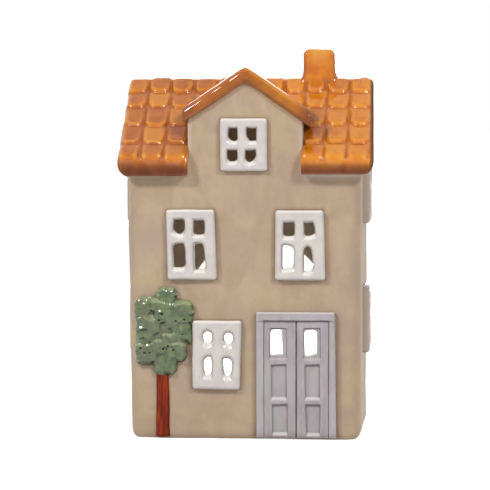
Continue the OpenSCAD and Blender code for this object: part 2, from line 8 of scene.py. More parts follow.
import bpy
import numpy as np
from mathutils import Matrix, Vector


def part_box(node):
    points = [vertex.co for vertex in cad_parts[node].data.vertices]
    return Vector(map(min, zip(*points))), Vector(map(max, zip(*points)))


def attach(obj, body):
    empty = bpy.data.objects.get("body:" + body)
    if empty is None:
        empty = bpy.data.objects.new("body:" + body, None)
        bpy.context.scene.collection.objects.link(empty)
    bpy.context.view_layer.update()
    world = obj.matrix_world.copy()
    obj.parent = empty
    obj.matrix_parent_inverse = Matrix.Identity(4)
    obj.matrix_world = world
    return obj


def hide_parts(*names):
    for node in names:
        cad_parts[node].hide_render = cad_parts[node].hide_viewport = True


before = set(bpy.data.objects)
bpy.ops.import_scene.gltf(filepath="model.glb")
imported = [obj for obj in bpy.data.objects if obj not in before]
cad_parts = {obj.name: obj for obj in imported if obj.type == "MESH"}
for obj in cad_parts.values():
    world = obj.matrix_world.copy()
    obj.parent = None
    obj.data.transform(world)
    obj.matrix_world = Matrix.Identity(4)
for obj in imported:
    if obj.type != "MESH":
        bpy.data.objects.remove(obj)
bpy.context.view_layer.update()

MM = 0.001

# Sizes of the house in millimetres, as in the CAD source
BODY_W, BODY_D, WALL_T, CORNER_R = 101.0, 72.0, 4.0, 5.0
HALF_W, HALF_D = BODY_W / 2, BODY_D / 2
FOOT_R, FOOT_EDGE_R, FLOOR_Z = 4.0, 0.8, 5.0
ARCH_W, ARCH_SPRING = 66.0, 52.0
ROOF_D, ROOF_T, EAVE_H, NOSE_Y = 82.0, 6.4, 118.8, 38.8
ROOF_PITCH = math.radians(40.4)
ROOF_LAP = ROOF_T / 2 * math.tan(ROOF_PITCH)
RIDGE_MID = EAVE_H + NOSE_Y * math.tan(ROOF_PITCH)
RIDGE_OUT = RIDGE_MID + ROOF_T / 2 / math.cos(ROOF_PITCH)
DORMER_HALF_W, DORMER_T, DORMER_LIP = 25.0, 4.6, 2.0
DORMER_PITCH = math.radians(34.6)
DORMER_LAP = DORMER_T / 2 * math.tan(DORMER_PITCH)
DORMER_MID = RIDGE_OUT + 4.8 - DORMER_T / 2 / math.cos(DORMER_PITCH)
CHIMNEY_W, CHIMNEY_D, CHIMNEY_X, CHIMNEY_Y, CHIMNEY_R = 14.5, 11.0, 30.3, 3.0, 2.4
CHIMNEY_TOP = RIDGE_OUT + 14.5
WINDOW_T, PANE_SINK, WINDOW_EDGE_R = 3.0, 2.0, 1.7
SIDE_LOW_Z, SIDE_HIGH_Z = 50.9, 108.5
DOOR_W, DOOR_H, JAMB_W, LINTEL_H = 35.0, 54.9, 3.4, 3.9
DOOR_FOOT = (22.5, FOOT_EDGE_R)
FRAME_T, LEAF_T, LEAF_GAP, PANEL_SINK, BAY_SINK = 2.8, 1.9, 0.6, 1.25, 0.75
LEAF_W, LEAF_H = (DOOR_W - 2 * JAMB_W - LEAF_GAP) / 2, DOOR_H - LINTEL_H
TREE_X, CROWN_Z, CROWN_H, CROWN_T = -35.4, 27.4, 39.0, 3.6
TRUNK_R, TRUNK_SINK = 3.2, 0.9

# How the hand-made piece departs from the drawn one
ROOF_LEFT, ROOF_RIGHT, RIGHT_TAPER = -55.4, 55.8, 2.4
EAVE_LOW, EAVE_OUT = 115.0, 41.3
TIP_LEFT, TIP_RIGHT = -27.2, 29.2
DORMER_FALL = 0.05
RIDGE_SOFT = 1.2

# Outlines are corners in millimetres from the middle of the window, against the clock.
# Every pane was cut by hand in wet clay, so no two are alike.
UPPER_LEFT_EDGE = ((-10.4, -15.3), (11.2, -15.3), (10.2, 15.4), (-11.0, 15.3))
UPPER_LEFT_PANES = (
    ((-7.7, 6.7), (-6.4, 5.1), (-4.9, 4.6), (-3.7, 5.1), (-2.8, 6.7), (-2.8, 9.9), (-3.4, 10.9),
     (-7.4, 10.8)),
    ((1.3, 5.2), (2.3, 4.4), (5.1, 4.5), (5.9, 5.8), (5.9, 9.8), (5.1, 10.7), (1.2, 10.6)),
    ((-7.6, -8.8), (-7.0, -9.8), (-3.3, -9.8), (-2.4, -8.5), (-2.8, -0.5), (-3.3, 0.3), (-6.8, 0.2),
     (-7.9, -0.7)),
    ((1.5, -10.0), (1.8, -10.8), (5.6, -10.7), (6.4, -9.4), (5.4, -0.5), (4.5, 0.4), (2.3, 0.5),
     (1.3, -0.2)),
)
UPPER_RIGHT_EDGE = ((-11.0, -15.2), (11.1, -15.3), (10.5, 15.2), (-10.5, 15.2))
UPPER_RIGHT_PANES = (
    ((-7.0, 4.6), (-6.3, 3.9), (-3.1, 3.9), (-2.3, 4.9), (-2.2, 9.1), (-2.8, 10.0), (-7.0, 9.8)),
    ((2.0, 4.9), (2.8, 3.9), (5.2, 4.2), (6.7, 5.3), (6.4, 8.7), (5.7, 9.9), (2.0, 9.6)),
    ((-7.6, -9.4), (-7.1, -10.3), (-4.2, -10.1), (-2.6, -8.8), (-2.4, -2.3), (-3.3, -0.9), (-6.3, 0.1),
     (-7.5, -0.5)),
    ((1.6, -5.0), (1.8, -11.2), (3.0, -11.7), (5.0, -11.0), (6.0, -9.4), (5.8, -5.4), (5.0, -1.6),
     (3.5, -0.6), (1.9, -1.8)),
)
ATTIC_EDGE = ((-10.1, -11.5), (10.4, -11.5), (10.3, 11.4), (-10.3, 11.5))
ATTIC_PANES = (
    ((-6.6, 3.4), (-5.3, 1.8), (-3.4, 1.6), (-2.6, 2.6), (-2.8, 7.2), (-6.5, 7.1)),
    ((1.4, 4.0), (2.7, 1.6), (5.4, 1.9), (5.5, 7.0), (1.4, 7.1)),
    ((-7.0, -5.9), (-6.1, -7.2), (-3.8, -7.2), (-2.7, -6.3), (-2.8, -2.3), (-6.9, -2.4)),
    ((0.9, -6.2), (2.3, -7.6), (4.2, -6.9), (5.4, -4.7), (5.2, -2.3), (0.9, -2.5)),
)
GROUND_EDGE = ((-11.0, -15.0), (9.9, -15.1), (10.6, 15.2), (-11.0, 15.0))
GROUND_PANES = (
    ((-6.4, 7.8), (-5.8, 6.0), (-4.3, 5.3), (-2.8, 6.0), (-2.2, 7.8), (-2.8, 9.6), (-4.3, 10.3),
     (-5.8, 9.6)),
    ((2.6, 7.2), (3.5, 5.4), (4.7, 4.7), (6.0, 5.4), (6.8, 7.2), (6.2, 9.1), (4.7, 9.8), (3.2, 9.1)),
    ((-5.7, -7.5), (-5.0, -8.4), (-3.5, -8.5), (-2.7, -7.7), (-2.5, -2.8), (-3.0, -0.9), (-4.4, -0.7),
     (-6.0, -2.4)),
    ((2.6, -6.4), (3.2, -8.4), (4.3, -9.1), (5.4, -8.7), (6.1, -7.5), (6.4, -3.3), (5.7, -1.7),
     (4.1, -1.2), (2.5, -1.7)),
)
# How far a pane's recess spreads over the face: to the sides, upwards and downwards
PANE_SPREAD, GROUND_SPREAD, LEAF_SPREAD = (0.7, 0.9, 2.0), (1.0, 1.3, 3.0), (0.45, 0.5, 1.5)
# The side windows, whose faces can't be seen, repeat these two
UPPER_LEFT = (UPPER_LEFT_EDGE, UPPER_LEFT_PANES, PANE_SPREAD)
UPPER_RIGHT = (UPPER_RIGHT_EDGE, UPPER_RIGHT_PANES, PANE_SPREAD)
# Each window's node, wall, middle across and up, outline, panes, spread and place in the noise
WINDOWS = (
    ("window_attic", "front", (-0.5, 128.2), ATTIC_EDGE, ATTIC_PANES, PANE_SPREAD, 1.0),
    ("window_upper_left", "front", (-23.4, 84.8), *UPPER_LEFT, 2.0),
    ("window_upper_right", "front", (23.9, 84.8), *UPPER_RIGHT, 3.0),
    ("window_ground", "front", (-11.9, 36.7), GROUND_EDGE, GROUND_PANES, GROUND_SPREAD, 4.0),
    ("window_right_lower", "right", (0.0, SIDE_LOW_Z), *UPPER_LEFT, 5.0),
    ("window_right_upper", "right", (0.0, SIDE_HIGH_Z), *UPPER_RIGHT, 6.0),
    ("window_left_lower", "left", (0.0, SIDE_LOW_Z), *UPPER_RIGHT, 7.0),
    ("window_left_upper", "left", (0.0, SIDE_HIGH_Z), *UPPER_LEFT, 8.0),
)
# The door's panes, the recesses round them and the sunk panels, from the middle of its foot
LEAF_PANES = (
    ((-11.3, 36.5), (-5.8, 36.7), (-6.5, 47.2), (-10.5, 47.2), (-11.3, 46.1)),
    ((3.7, 36.2), (5.9, 36.2), (8.9, 37.3), (8.9, 46.1), (8.0, 47.2), (4.4, 47.2), (3.3, 46.1)),
)
LEAF_BAYS = (
    ((-11.7, 35.2), (-4.0, 35.2), (-4.2, 47.6), (-11.7, 47.6)),
    ((3.1, 35.0), (10.6, 35.2), (10.4, 47.6), (3.1, 47.6)),
)
LEAF_PANELS = (
    (((-10.8, 18.0), (-4.2, 18.0), (-4.4, 31.3), (-10.9, 31.0)),
     ((-10.3, 2.6), (-3.8, 2.6), (-3.8, 13.9), (-10.5, 13.6))),
    (((3.9, 18.1), (10.2, 18.1), (10.1, 31.2), (3.7, 31.1)),
     ((4.5, 2.4), (10.2, 2.4), (10.4, 13.8), (4.0, 13.7))),
)

# Edges between the roof's columns and rows of tiles, along the ridge and down the slope
TILE_COLUMNS = (-55.2, -45.6, -35.4, -24.7, -14.8, -5.0, 5.2, 15.3, 24.6, 34.2, 44.2, 54.0)
TILE_ROWS = (-3.0, 8.7, 19.2, 31.6, 43.4, 54.6)
DORMER_COLUMNS = (-39.5, -28.5, -19.0, -9.5, 1.5)
DORMER_LEFT_ROWS, DORMER_RIGHT_ROWS = (-3.0, 12.2, 23.3, 34.0), (-3.0, 10.4, 22.3, 35.0)
TILE_CROWN, TILE_EDGE, RELIEF_STEP = 0.14, 1.9, 0.2

# The crown's lobes: across and up from the crown's foot, half width, half height, height over the wall
LOBES = (
    (1.2, 34.3, 4.6, 4.8, 2.9), (-8.0, 29.4, 4.6, 5.3, 2.5), (-7.7, 23.4, 4.8, 4.6, 3.2),
    (-7.4, 16.9, 5.0, 4.8, 2.6), (-7.9, 9.9, 4.9, 5.6, 3.2), (0.8, 5.1, 5.2, 5.0, 2.6),
    (5.6, 10.9, 4.7, 4.7, 3.2), (7.6, 18.7, 5.1, 5.2, 2.5), (8.2, 27.9, 5.1, 5.3, 3.2),
    (-0.5, 20.0, 9.0, 10.0, 2.2), (-0.2, 28.0, 4.6, 4.6, 3.8), (-2.6, 12.4, 4.2, 4.2, 3.5),
    (3.4, 23.4, 4.0, 3.8, 3.3), (2.4, 15.8, 3.6, 3.8, 3.5), (-4.2, 21.6, 4.0, 4.0, 3.5),
    (-2.6, 30.3, 3.2, 3.0, 3.7),
)
# Its pits: across, up and radius
PITS = (
    (-0.5, 27.2, 0.62), (-1.9, 24.4, 0.5), (9.2, 24.7, 0.5), (5.5, 24.1, 0.45), (-9.9, 15.9, 0.45),
    (-6.2, 14.6, 0.55), (-9.9, 12.1, 0.5), (-8.2, 10.2, 0.5), (-5.9, 10.3, 0.5), (0.0, 12.0, 0.5),
    (4.4, 11.3, 0.5), (2.0, 13.2, 0.4), (-6.0, 27.1, 0.45), (-8.7, 16.6, 0.4), (8.4, 18.3, 0.4),
)

# Distances that decide nothing where a field or a value has no say
NO_LIMIT, FAR = -9.0, 50.0
# Luted pieces start this far behind the wall's face
BACK_C = -1.0
# Sides of the turned forms, and how much thinner the wax and the wick are than their solids
TURNS, WICK_TURNS, WAX_PLAY, WICK_PLAY = 160, 36, 0.65, 0.05

# The stage, in metres and watts
CAMERA_AT, CAMERA_AIM, LENS, SENSOR = (0.09083, -1.09467, 0.13653), (-0.003018, 0.0, 0.08293), 180.0, 36.0
CLIP_NEAR, CLIP_FAR, FLOOR_HALF = 0.05, 200.0, 40.0
FLOOR_SHINE, WORLD_LEVEL, ALL_WHITE = 0.67, 0.3, (1.0, 1.0, 1.0, 1.0)
# Each lamp's place, what it points at, width, depth and power
LAMPS = {
    "key": ((-0.6, -0.65, 0.7), (0, 0, 0.08), 0.17, 0.17, 5.0),
    "fill": ((0.6, -0.68, 0.66), (0, 0, 0.08), 0.17, 0.17, 4.5),
    "back": ((-0.1, 1.0, 0.4), (0, 0, 0.05), 0.6, 0.5, 7.0),
}


# Fields: smooth joins, noise and plane shapes

def unit(v):
    """A value stopped at 0 and 1."""
    return np.clip(v, 0.0, 1.0)


def soft_min(a, b, k):
    h = unit(0.5 + 0.5 * (b - a) / k)
    return b + (a - b) * h - k * h * (1.0 - h)


def soft_max(a, b, k):
    return -soft_min(-a, -b, k)


def soft_abs(v, r):
    return np.sqrt(v * v + r * r) - 0.6 * r


def beyond(a, b):
    """Distance to a corner from where both values are above 0."""
    return np.hypot(np.maximum(a, 0.0), np.maximum(b, 0.0))


def round_max(a, b, r):
    """The meeting of two bodies, with an edge of radius r."""
    return np.minimum(np.maximum(a + r, b + r), 0.0) + beyond(a + r, b + r) - r


def rect(x, y, half_w, half_h, r):
    """Distance to a rectangle with round corners, in its plane."""
    return round_max(np.abs(x) - half_w, np.abs(y) - half_h, r)


def corner_round(side, up, r):
    """A corner of radius r between an end face and an underside, in their own plane."""
    return beyond(side + r, up + r) - r


def outline(a, b, corners, spread=(0.0, 0.0, 0.0), share=0.0, k=0.5):
    """Distance to a convex outline that grows by a share of its spread to the sides, up and down."""
    d = None
    for (ax, ay), (bx, by) in zip(corners, corners[1:] + corners[:1]):
        length = math.hypot(bx - ax, by - ay)
        nx, ny = (by - ay) / length, (ax - bx) / length
        grow = spread[0] * abs(nx) + spread[1] * max(ny, 0.0) + spread[2] * max(-ny, 0.0)
        edge = (a - ax) * nx + (b - ay) * ny - grow * share
        d = edge if d is None else soft_max(d, edge, k)
    return d


# The noise comes from random values at the points of a lattice
LATTICE_N = 64
LATTICE = np.random.default_rng(11).uniform(-1.0, 1.0, (LATTICE_N,) * 3).astype(np.float32)
CORNERS = list(itertools.product((0, 1), repeat=3))


def noise(x, y, z, size, shift=0.0):
    """Smooth noise from -1 to 1, with bumps about as wide as size."""
    low, part = [], []
    for v, off in ((x, 0.37), (y, 0.71), (z, 0.13)):
        v = np.asarray(v, np.float32) / size + off + shift
        base = np.floor(v)
        t = v - base
        low.append(base.astype(np.int64))
        part.append(t * t * (3.0 - 2.0 * t))
    total = 0.0
    for corner in CORNERS:
        weight = math.prod(t if far else 1.0 - t for t, far in zip(part, corner))
        total = total + weight * LATTICE[tuple((i + far) % LATTICE_N for i, far in zip(low, corner))]
    return total


def face_noise(a, b, size, shift):
    """The same for places on a wall, across and up."""
    return noise(a, b, 0.0 * a, size, shift)


def line_noise(a, size, shift):
    """The same along a line."""
    return noise(a, 0.0 * a, 0.0 * a, size, shift)


# Meshes from fields

def surface_nets(f, low, step):
    """Vertices and outward quads of the zero level of a grid of values."""
    inside = f < 0.0
    shape = tuple(n - 1 for n in f.shape)
    count = np.zeros(shape, np.uint8)
    for i, j, k in CORNERS:
        count += inside[i:i + shape[0], j:j + shape[1], k:k + shape[2]]
    cells = np.argwhere((count > 0) & (count < 8))
    index = np.full(shape, -1, np.int64)
    index[tuple(cells.T)] = np.arange(len(cells))
    place, crossings = np.zeros((len(cells), 3)), np.zeros(len(cells))
    for a in CORNERS:
        for axis in range(3):
            if a[axis]:
                continue
            b = list(a)
            b[axis] = 1
            va = f[tuple((cells + a).T)].astype(float)
            vb = f[tuple((cells + b).T)].astype(float)
            crossed = (va < 0.0) != (vb < 0.0)
            t = np.where(crossed, va / np.where(crossed, va - vb, 1.0), 0.0)
            point = np.repeat(np.array([a], float), len(cells), 0)
            point[:, axis] += t
            place += point * crossed[:, None]
            crossings += crossed
    verts = np.asarray(low) + step * (cells + place / crossings[:, None])
    quads = []
    for axis in range(3):
        u, v = (axis + 1) % 3, (axis + 2) % 3
        below = np.take(inside, range(f.shape[axis] - 1), axis)
        above = np.take(inside, range(1, f.shape[axis]), axis)
        edges = np.argwhere(below != above)
        for w in (u, v):
            edges = edges[(edges[:, w] > 0) & (edges[:, w] < f.shape[w] - 1)]
        outward = below[tuple(edges.T)]
        ring = []
        for du, dv in ((-1, -1), (0, -1), (0, 0), (-1, 0)):
            cell = edges.copy()
            cell[:, u] += du
            cell[:, v] += dv
            ring.append(index[tuple(cell.T)])
        ring = np.stack(ring, 1)
        quads.append(np.where(outward[:, None], ring, ring[:, ::-1]))
    return verts, np.concatenate(quads)


def settle(f, verts, step, rounds=3):
    """Moves vertices onto the field's zero level."""
    h = 0.25 * step
    for _ in range(rounds):
        x, y, z = verts.T
        value = f(x, y, z)
        slope = np.stack([
            (f(x + h, y, z) - f(x - h, y, z)) / (2 * h),
            (f(x, y + h, z) - f(x, y - h, z)) / (2 * h),
            (f(x, y, z + h) - f(x, y, z - h)) / (2 * h),
        ], 1)
        move = -value[:, None] * slope / np.maximum((slope ** 2).sum(1), 0.05)[:, None]
        far = np.linalg.norm(move, axis=1)
        move *= np.minimum(1.0, 0.5 * step / np.maximum(far, 1e-9))[:, None]
        verts = verts + move
    return verts


def normals_of(verts, quads):
    a, b, c, d = (verts[quads[:, i]] for i in range(4))
    face = np.cross(c - a, d - b)
    total = np.zeros_like(verts)
    for i in range(4):
        for axis in range(3):
            total[:, axis] += np.bincount(quads[:, i], face[:, axis], len(verts))
    return total / np.maximum(np.linalg.norm(total, axis=1), 1e-12)[:, None]


def averaged(values, quads, rounds):
    """Values spread over their neighbours again and again."""
    values = values.astype(float).reshape(len(values), -1).copy()
    pairs = np.concatenate([quads[:, [i, (i + 1) % 4]] for i in range(4)])
    i, j = pairs.T
    ways = np.bincount(i, minlength=len(values)) + np.bincount(j, minlength=len(values))
    ways = np.maximum(ways, 1)
    for _ in range(rounds):
        for c in range(values.shape[1]):
            v = values[:, c]
            mean = (np.bincount(i, v[j], len(v)) + np.bincount(j, v[i], len(v))) / ways
            values[:, c] = 0.4 * v + 0.6 * mean
    return values


def hollow(verts, quads, rounds):
    """How far each vertex lies under the smoothed surface, in millimetres: above 0 in grooves."""
    return ((averaged(verts, quads, rounds) - verts) * normals_of(verts, quads)).sum(1)


def carved(f, low, high, step):
    """Vertices and quads of a field within a box."""
    axes = [np.arange(a - 1.5 * step, b + 1.5 * step, step) for a, b in zip(low, high)]
    x, y, z = np.meshgrid(*axes, indexing="ij", sparse=True)
    grid = f(x, y, z)
    verts, quads = surface_nets(grid, [a[0] for a in axes], step)
    return settle(f, verts, step), quads


def made_piece(name, verts, faces, finish, body, node, values=None):
    """An object from vertices in millimetres and lists of faces, with named values at its vertices."""
    mesh = bpy.data.meshes.new(name)
    mesh.vertices.add(len(verts))
    mesh.vertices.foreach_set("co", (verts * MM).astype(np.float32).ravel())
    loops = np.concatenate([f.ravel() for f in faces])
    sides = np.concatenate([np.full(len(f), f.shape[1]) for f in faces])
    mesh.loops.add(len(loops))
    mesh.loops.foreach_set("vertex_index", loops.astype(np.int32))
    mesh.polygons.add(len(sides))
    mesh.polygons.foreach_set("loop_start", (np.cumsum(sides) - sides).astype(np.int32))
    mesh.update(calc_edges=True)
    mesh.shade_smooth()
    for key, value in (values or {}).items():
        mesh.attributes.new(key, "FLOAT", "POINT").data.foreach_set("value", value.astype(np.float32))
    material, slot = finish
    mesh.materials.append(material)
    piece = bpy.data.objects.new(name, mesh)
    bpy.context.scene.collection.objects.link(piece)
    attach(piece, body)
    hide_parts(node)


# Materials

EVEN = (1.0, 1.0, 1.0)
# Where a mix node has its colour sockets
MIX_SHARE, MIX_A, MIX_B, MIX_RESULT = 0, 6, 7, 2


def rgba(hex_word):
    """A colour written as six hex digits in sRGB, as linear light."""
    parts = [int(hex_word[i:i + 2], 16) / 255 for i in (0, 2, 4)]
    return [p / 12.92 if p <= 0.04045 else ((p + 0.055) / 1.055) ** 2.4 for p in parts] + [1.0]


class Nodes:
    """Short names for the nodes of a material or a world. A material's colour is laid on in layers."""

    def __init__(self, name, kind=bpy.data.materials, shader="Principled BSDF"):
        self.name = name
        self.owner = kind.new(name)
        self.owner.use_nodes = True
        self.tree = self.owner.node_tree
        self.shader = self.tree.nodes[shader]
        self.colour = None

    def put(self, value, socket):
        """Links an output to a socket, or sets a number or a colour in it."""
        if isinstance(value, bpy.types.NodeSocket):
            self.tree.links.new(value, socket)
        else:
            socket.default_value = rgba(value) if isinstance(value, str) else value

    def add(self, kind, inputs, **options):
        """The outputs of a new node."""
        node = self.tree.nodes.new(kind)
        for key, value in options.items():
            setattr(node, key, value)
        for key, value in inputs.items():
            self.put(value, node.inputs[key])
        return node.outputs

    def place(self, stretch=EVEN):
        """Object coordinates in millimetres, stretched along the axes."""
        coords = self.add("ShaderNodeTexCoord", {})["Object"]
        scale = [1.0 / MM / s for s in stretch]
        return self.add("ShaderNodeMapping", {"Scale": scale, "Vector": coords})["Vector"]

    def noise(self, size, detail=3.0, stretch=EVEN, rough=0.5, twist=0.0):
        """Noise from 0 to 1 with spots about size millimetres wide."""
        inputs = {"Scale": 1.0 / size, "Detail": detail, "Roughness": rough, "Distortion": twist}
        return self.add("ShaderNodeTexNoise", inputs | {"Vector": self.place(stretch)})["Fac"]

    def value(self, name):
        return self.add("ShaderNodeAttribute", {}, attribute_name=name)["Fac"]

    def span(self, value, low, high, to_low=0.0, to_high=1.0):
        """Maps low to high onto another range, and stops at its ends."""
        inputs = {"Value": value, "From Min": low, "From Max": high, "To Min": to_low, "To Max": to_high}
        return self.add("ShaderNodeMapRange", inputs, interpolation_type="SMOOTHSTEP")["Result"]

    def mix(self, share, a, b):
        """Colours a and b, which are outputs or hex words, mixed by a share."""
        inputs = {MIX_SHARE: share, MIX_A: a, MIX_B: b}
        return self.add("ShaderNodeMix", inputs, data_type="RGBA")[MIX_RESULT]

    def sum(self, a, b, kind="ADD"):
        return self.add("ShaderNodeMath", {0: a, 1: b}, operation=kind)[0]

    def part(self, value, share):
        return self.sum(value, share, "MULTIPLY")

    def seen(self):
        """1 where the camera, a reflection or a view through glass meets it, otherwise 0."""
        path = self.add("ShaderNodeLightPath", {})
        direct = self.sum(path["Is Camera Ray"], path["Is Glossy Ray"], "MAXIMUM")
        return self.sum(direct, path["Is Transmission Ray"], "MAXIMUM")

    def ground(self, source, low, high, dark, light):
        """The first colour, from dark to light as the source goes from low to high."""
        self.colour = self.mix(self.span(source, low, high), dark, light)

    def over(self, tone, share, source, *ends):
        """A tone over the colour, as far as an output, a named value or a noise goes between its ends."""
        if isinstance(source, str):
            source = self.value(source)
        elif isinstance(source, tuple):
            source = self.noise(*source)
        if ends:
            source = self.span(source, *ends)
        self.colour = self.mix(self.part(source, share), self.colour, tone)

    def bump(self, height, depth_mm, strength):
        inputs = {"Distance": depth_mm * MM, "Strength": strength, "Height": height}
        self.put(self.add("ShaderNodeBump", inputs)["Normal"], self.shader.inputs["Normal"])

    def finish(self, roughness, **constants):
        """The material and its name."""
        for key, value in {"Base_Color": self.colour, "Roughness": roughness, **constants}.items():
            self.put(value, self.shader.inputs[key.replace("_", " ")])
        return self.owner, self.name

    def glazed(self, roughness, coat, coat_rough, specular):
        return self.finish(
            roughness, Coat_Weight=coat, Coat_Roughness=coat_rough, Specular_IOR_Level=specular
        )


def clay_material():
    """Beige wash under a clear glaze, brushed on in soft strokes, darker round luted pieces and towards
    the floor as painted shade with pooled glaze; pale bare clay inside, made paler to stand in for light.
    """
    n = Nodes("clay_glaze")
    strokes = n.noise(11.0, 4.0, (1.0, 1.0, 2.0), 0.55, 0.6)
    n.ground(strokes, 0.34, 0.68, "AC957D", "B9A28A")
    n.over("AC9584", 0.65, (24.0, 2.0), 0.42, 0.64)
    n.over("BCA782", 0.5, (18.0, 3.0, (1.5, 1.5, 1.0), 0.5, 0.4), 0.5, 0.68)
    n.over("A28C7C", 0.3, (8.0, 2.0), 0.55, 0.75)
    n.over("8E7A64", 0.12, (1.0, 2.0), 0.5, 0.78)
    n.over("705C48", 0.66, "pool", 0.1, 1.0)
    n.over("CDBBA2", 0.3, "ridge", 0.1, 1.0)
    # Pale lines beside the side windows, at the dormer's cheeks and under the right eave
    n.over("DACDC6", 0.7, "spill")
    # Bare clay inside, painted paler to stand in for light
    n.over(n.mix(n.span(n.noise(6.0, 3.0), 0.4, 0.65), "DACDBD", "E4D8CA"), 1.0, "inside")
    n.bump(n.sum(n.noise(2.4, 2.0), n.noise(7.0, 1.0)), 0.1, 0.4)
    rough = n.sum(n.span(strokes, 0.3, 0.7, 0.48, 0.6), n.part(n.value("inside"), 0.3))
    return n.finish(rough, Specular_IOR_Level=0.25)


def bisque_material():
    """Bare fired clay of the floor, with some soot and wear."""
    n = Nodes("bisque_clay")
    n.ground(n.noise(5.0, 4.0), 0.38, 0.66, "C4B4A1", "D3C5B4")
    n.over("AC9A88", 0.5, (14.0, 2.0), 0.5, 0.72)
    n.over("8F7E6E", 0.3, (0.7, 2.0), 0.55, 0.8)
    n.bump(n.noise(0.9, 3.0), 0.12, 0.5)
    return n.finish(n.span(n.noise(3.0, 2.0), 0.3, 0.7, 0.7, 0.85), Specular_IOR_Level=0.3)


def roof_material():
    """Amber glaze over orange: thin and pale on edges, strengthened as a painted highlight; dark where it
    runs together, with painted shade; a dark fascia, dark round the dormer and on the chimney's edges, and
    dark matt ends and undersides, as painted shade; a painted paler middle on the chimney.
    """
    n = Nodes("roof_glaze")
    cloud = n.noise(6.0, 3.0, EVEN, 0.55, 0.5)
    across = n.add("ShaderNodeSeparateXYZ", {0: n.place()})[0]
    golden = n.span(n.sum(across, n.part(n.noise(18.0, 2.0), 30.0)), -2.0, 32.0)
    dull = n.mix(n.span(cloud, 0.34, 0.66), "B05A0C", "C06B0E")
    rich = n.mix(n.span(cloud, 0.34, 0.66), "CC6E08", "DA840E")
    n.colour = n.mix(golden, dull, rich)
    n.over("B45C0E", 0.4, "tint", 0.05, 0.45, 1.0, 0.0)
    n.over("E4921C", 0.5, "tint", 0.55, 0.95)
    n.over("B47014", 0.2, (1.6, 2.0), 0.55, 0.8)
    # Pale where the glaze thins on edges, made stronger as a painted highlight for glints
    n.over("EA9A28", 0.55, "ridge", 0.1, 0.9)
    n.over("96480C", 0.7, "pool", 0.05, 0.9)
    # Painted shade: the dark fascia and the lower edge of the dormer's front
    n.over(n.mix(n.span(cloud, 0.3, 0.7), "562200", "6A2E02"), 0.95, "fascia")
    # Painted light: the chimney's paler middle
    n.over("E8A848", 0.55, "glow")
    # Painted shade with runs of glaze round the dormer and on the chimney
    n.over("7E3A0A", 0.65, "drip")
    # Dark matt ends, crest and undersides, painted shade on the ends and undersides
    n.over("5E4232", 0.85, "dry")
    n.over("CDBBA4", 1.0, "bare")
    n.bump(n.noise(2.6, 1.0), 0.08, 0.4)
    rough = n.sum(n.span(cloud, 0.3, 0.7, 0.14, 0.24), n.part(n.value("dry"), 0.5))
    matt = n.sum(n.value("dry"), n.part(n.value("fascia"), 0.35))
    return n.glazed(rough, n.span(matt, 0.0, 1.0, 0.85, 0.0), 0.04, 0.05)


def white_material():
    """Thick white glaze, creamy where it thins on edges; lilac grey in recesses and dark at hole rims and
    at its foot, as painted shade with pooled glaze and clay showing; a painted highlight on faces that
    look up.
    """
    n = Nodes("white_glaze")
    cloud = n.noise(5.0, 2.0, EVEN, 0.5, 0.3)
    n.ground(cloud, 0.35, 0.65, "CAC1BF", "D1CAC1")
    n.over("CEC5C8", 0.4, (9.0, 2.0), 0.5, 0.7)
    n.over("E6DED2", 0.5, "ridge", 0.1, 0.9)
    n.over("B0A8A6", 0.35, "pool", 0.1, 1.0)
    # Painted shade at the foot, with thin glaze showing clay
    n.over("9A8474", 0.7, "foot", 0.1, 1.0)
    # Dark hole rims: clay under thin glaze, darkened as painted shade
    n.over("776A60", 0.8, "rim")
    # Painted highlight on faces that look up
    n.over("F8F2EA", 0.7, "light")
    n.bump(n.noise(3.0, 1.0), 0.06, 0.3)
    return n.glazed(n.span(cloud, 0.3, 0.7, 0.12, 0.2), 0.35, 0.05, 0.3)


def grey_material():
    """Lilac grey glaze of the door, darker in its grooves and at its foot as painted shade with pooled
    glaze, with a painted highlight on faces that look up.
    """
    n = Nodes("grey_glaze")
    cloud = n.noise(5.0, 3.0, (1.0, 1.0, 2.6), 0.55, 0.4)
    n.ground(cloud, 0.35, 0.66, "9E9699", "ACA3A6")
    n.over("C7BEBE", 0.2, "tint")
    n.over("A7A9A4", 0.5, (7.0, 2.0, (1.0, 1.0, 2.0)), 0.5, 0.7)
    n.over("B5A6B0", 0.45, (4.0, 2.0, (1.0, 1.0, 3.0), 0.5, 0.8), 0.52, 0.7)
    n.over("686062", 0.75, "pool", 0.06, 0.8)
    n.over("CAC1C0", 0.55, "ridge", 0.1, 0.9)
    # Painted shade at the foot
    n.over("7C6C60", 0.5, "foot", 0.1, 1.0)
    # Painted highlight on faces that look up
    n.over("DCD6D8", 0.75, "light")
    n.bump(n.noise(2.8, 1.0), 0.06, 0.35)
    return n.glazed(n.span(cloud, 0.3, 0.7, 0.16, 0.26), 0.3, 0.06, 0.3)


def bark_material():
    """Red-brown glaze with streaks down the trunk, darker in its grooves and at its foot as painted shade
    with pooled glaze.
    """
    n = Nodes("bark_glaze")
    streak = n.noise(1.6, 3.0, (1.0, 1.0, 9.0), 0.6, 0.3)
    n.ground(streak, 0.36, 0.66, "681806", "98360E")
    n.over("A8441A", 0.3, "ridge", 0.1, 0.9)
    n.over("3E0E04", 0.7, "pool", 0.1, 0.9)
    # Painted shade at the foot
    n.over("4A1A10", 0.6, "foot", 0.1, 1.0)
    n.bump(streak, 0.1, 0.4)
    return n.glazed(n.span(streak, 0.3, 0.7, 0.2, 0.32), 0.15, 0.05, 0.04)


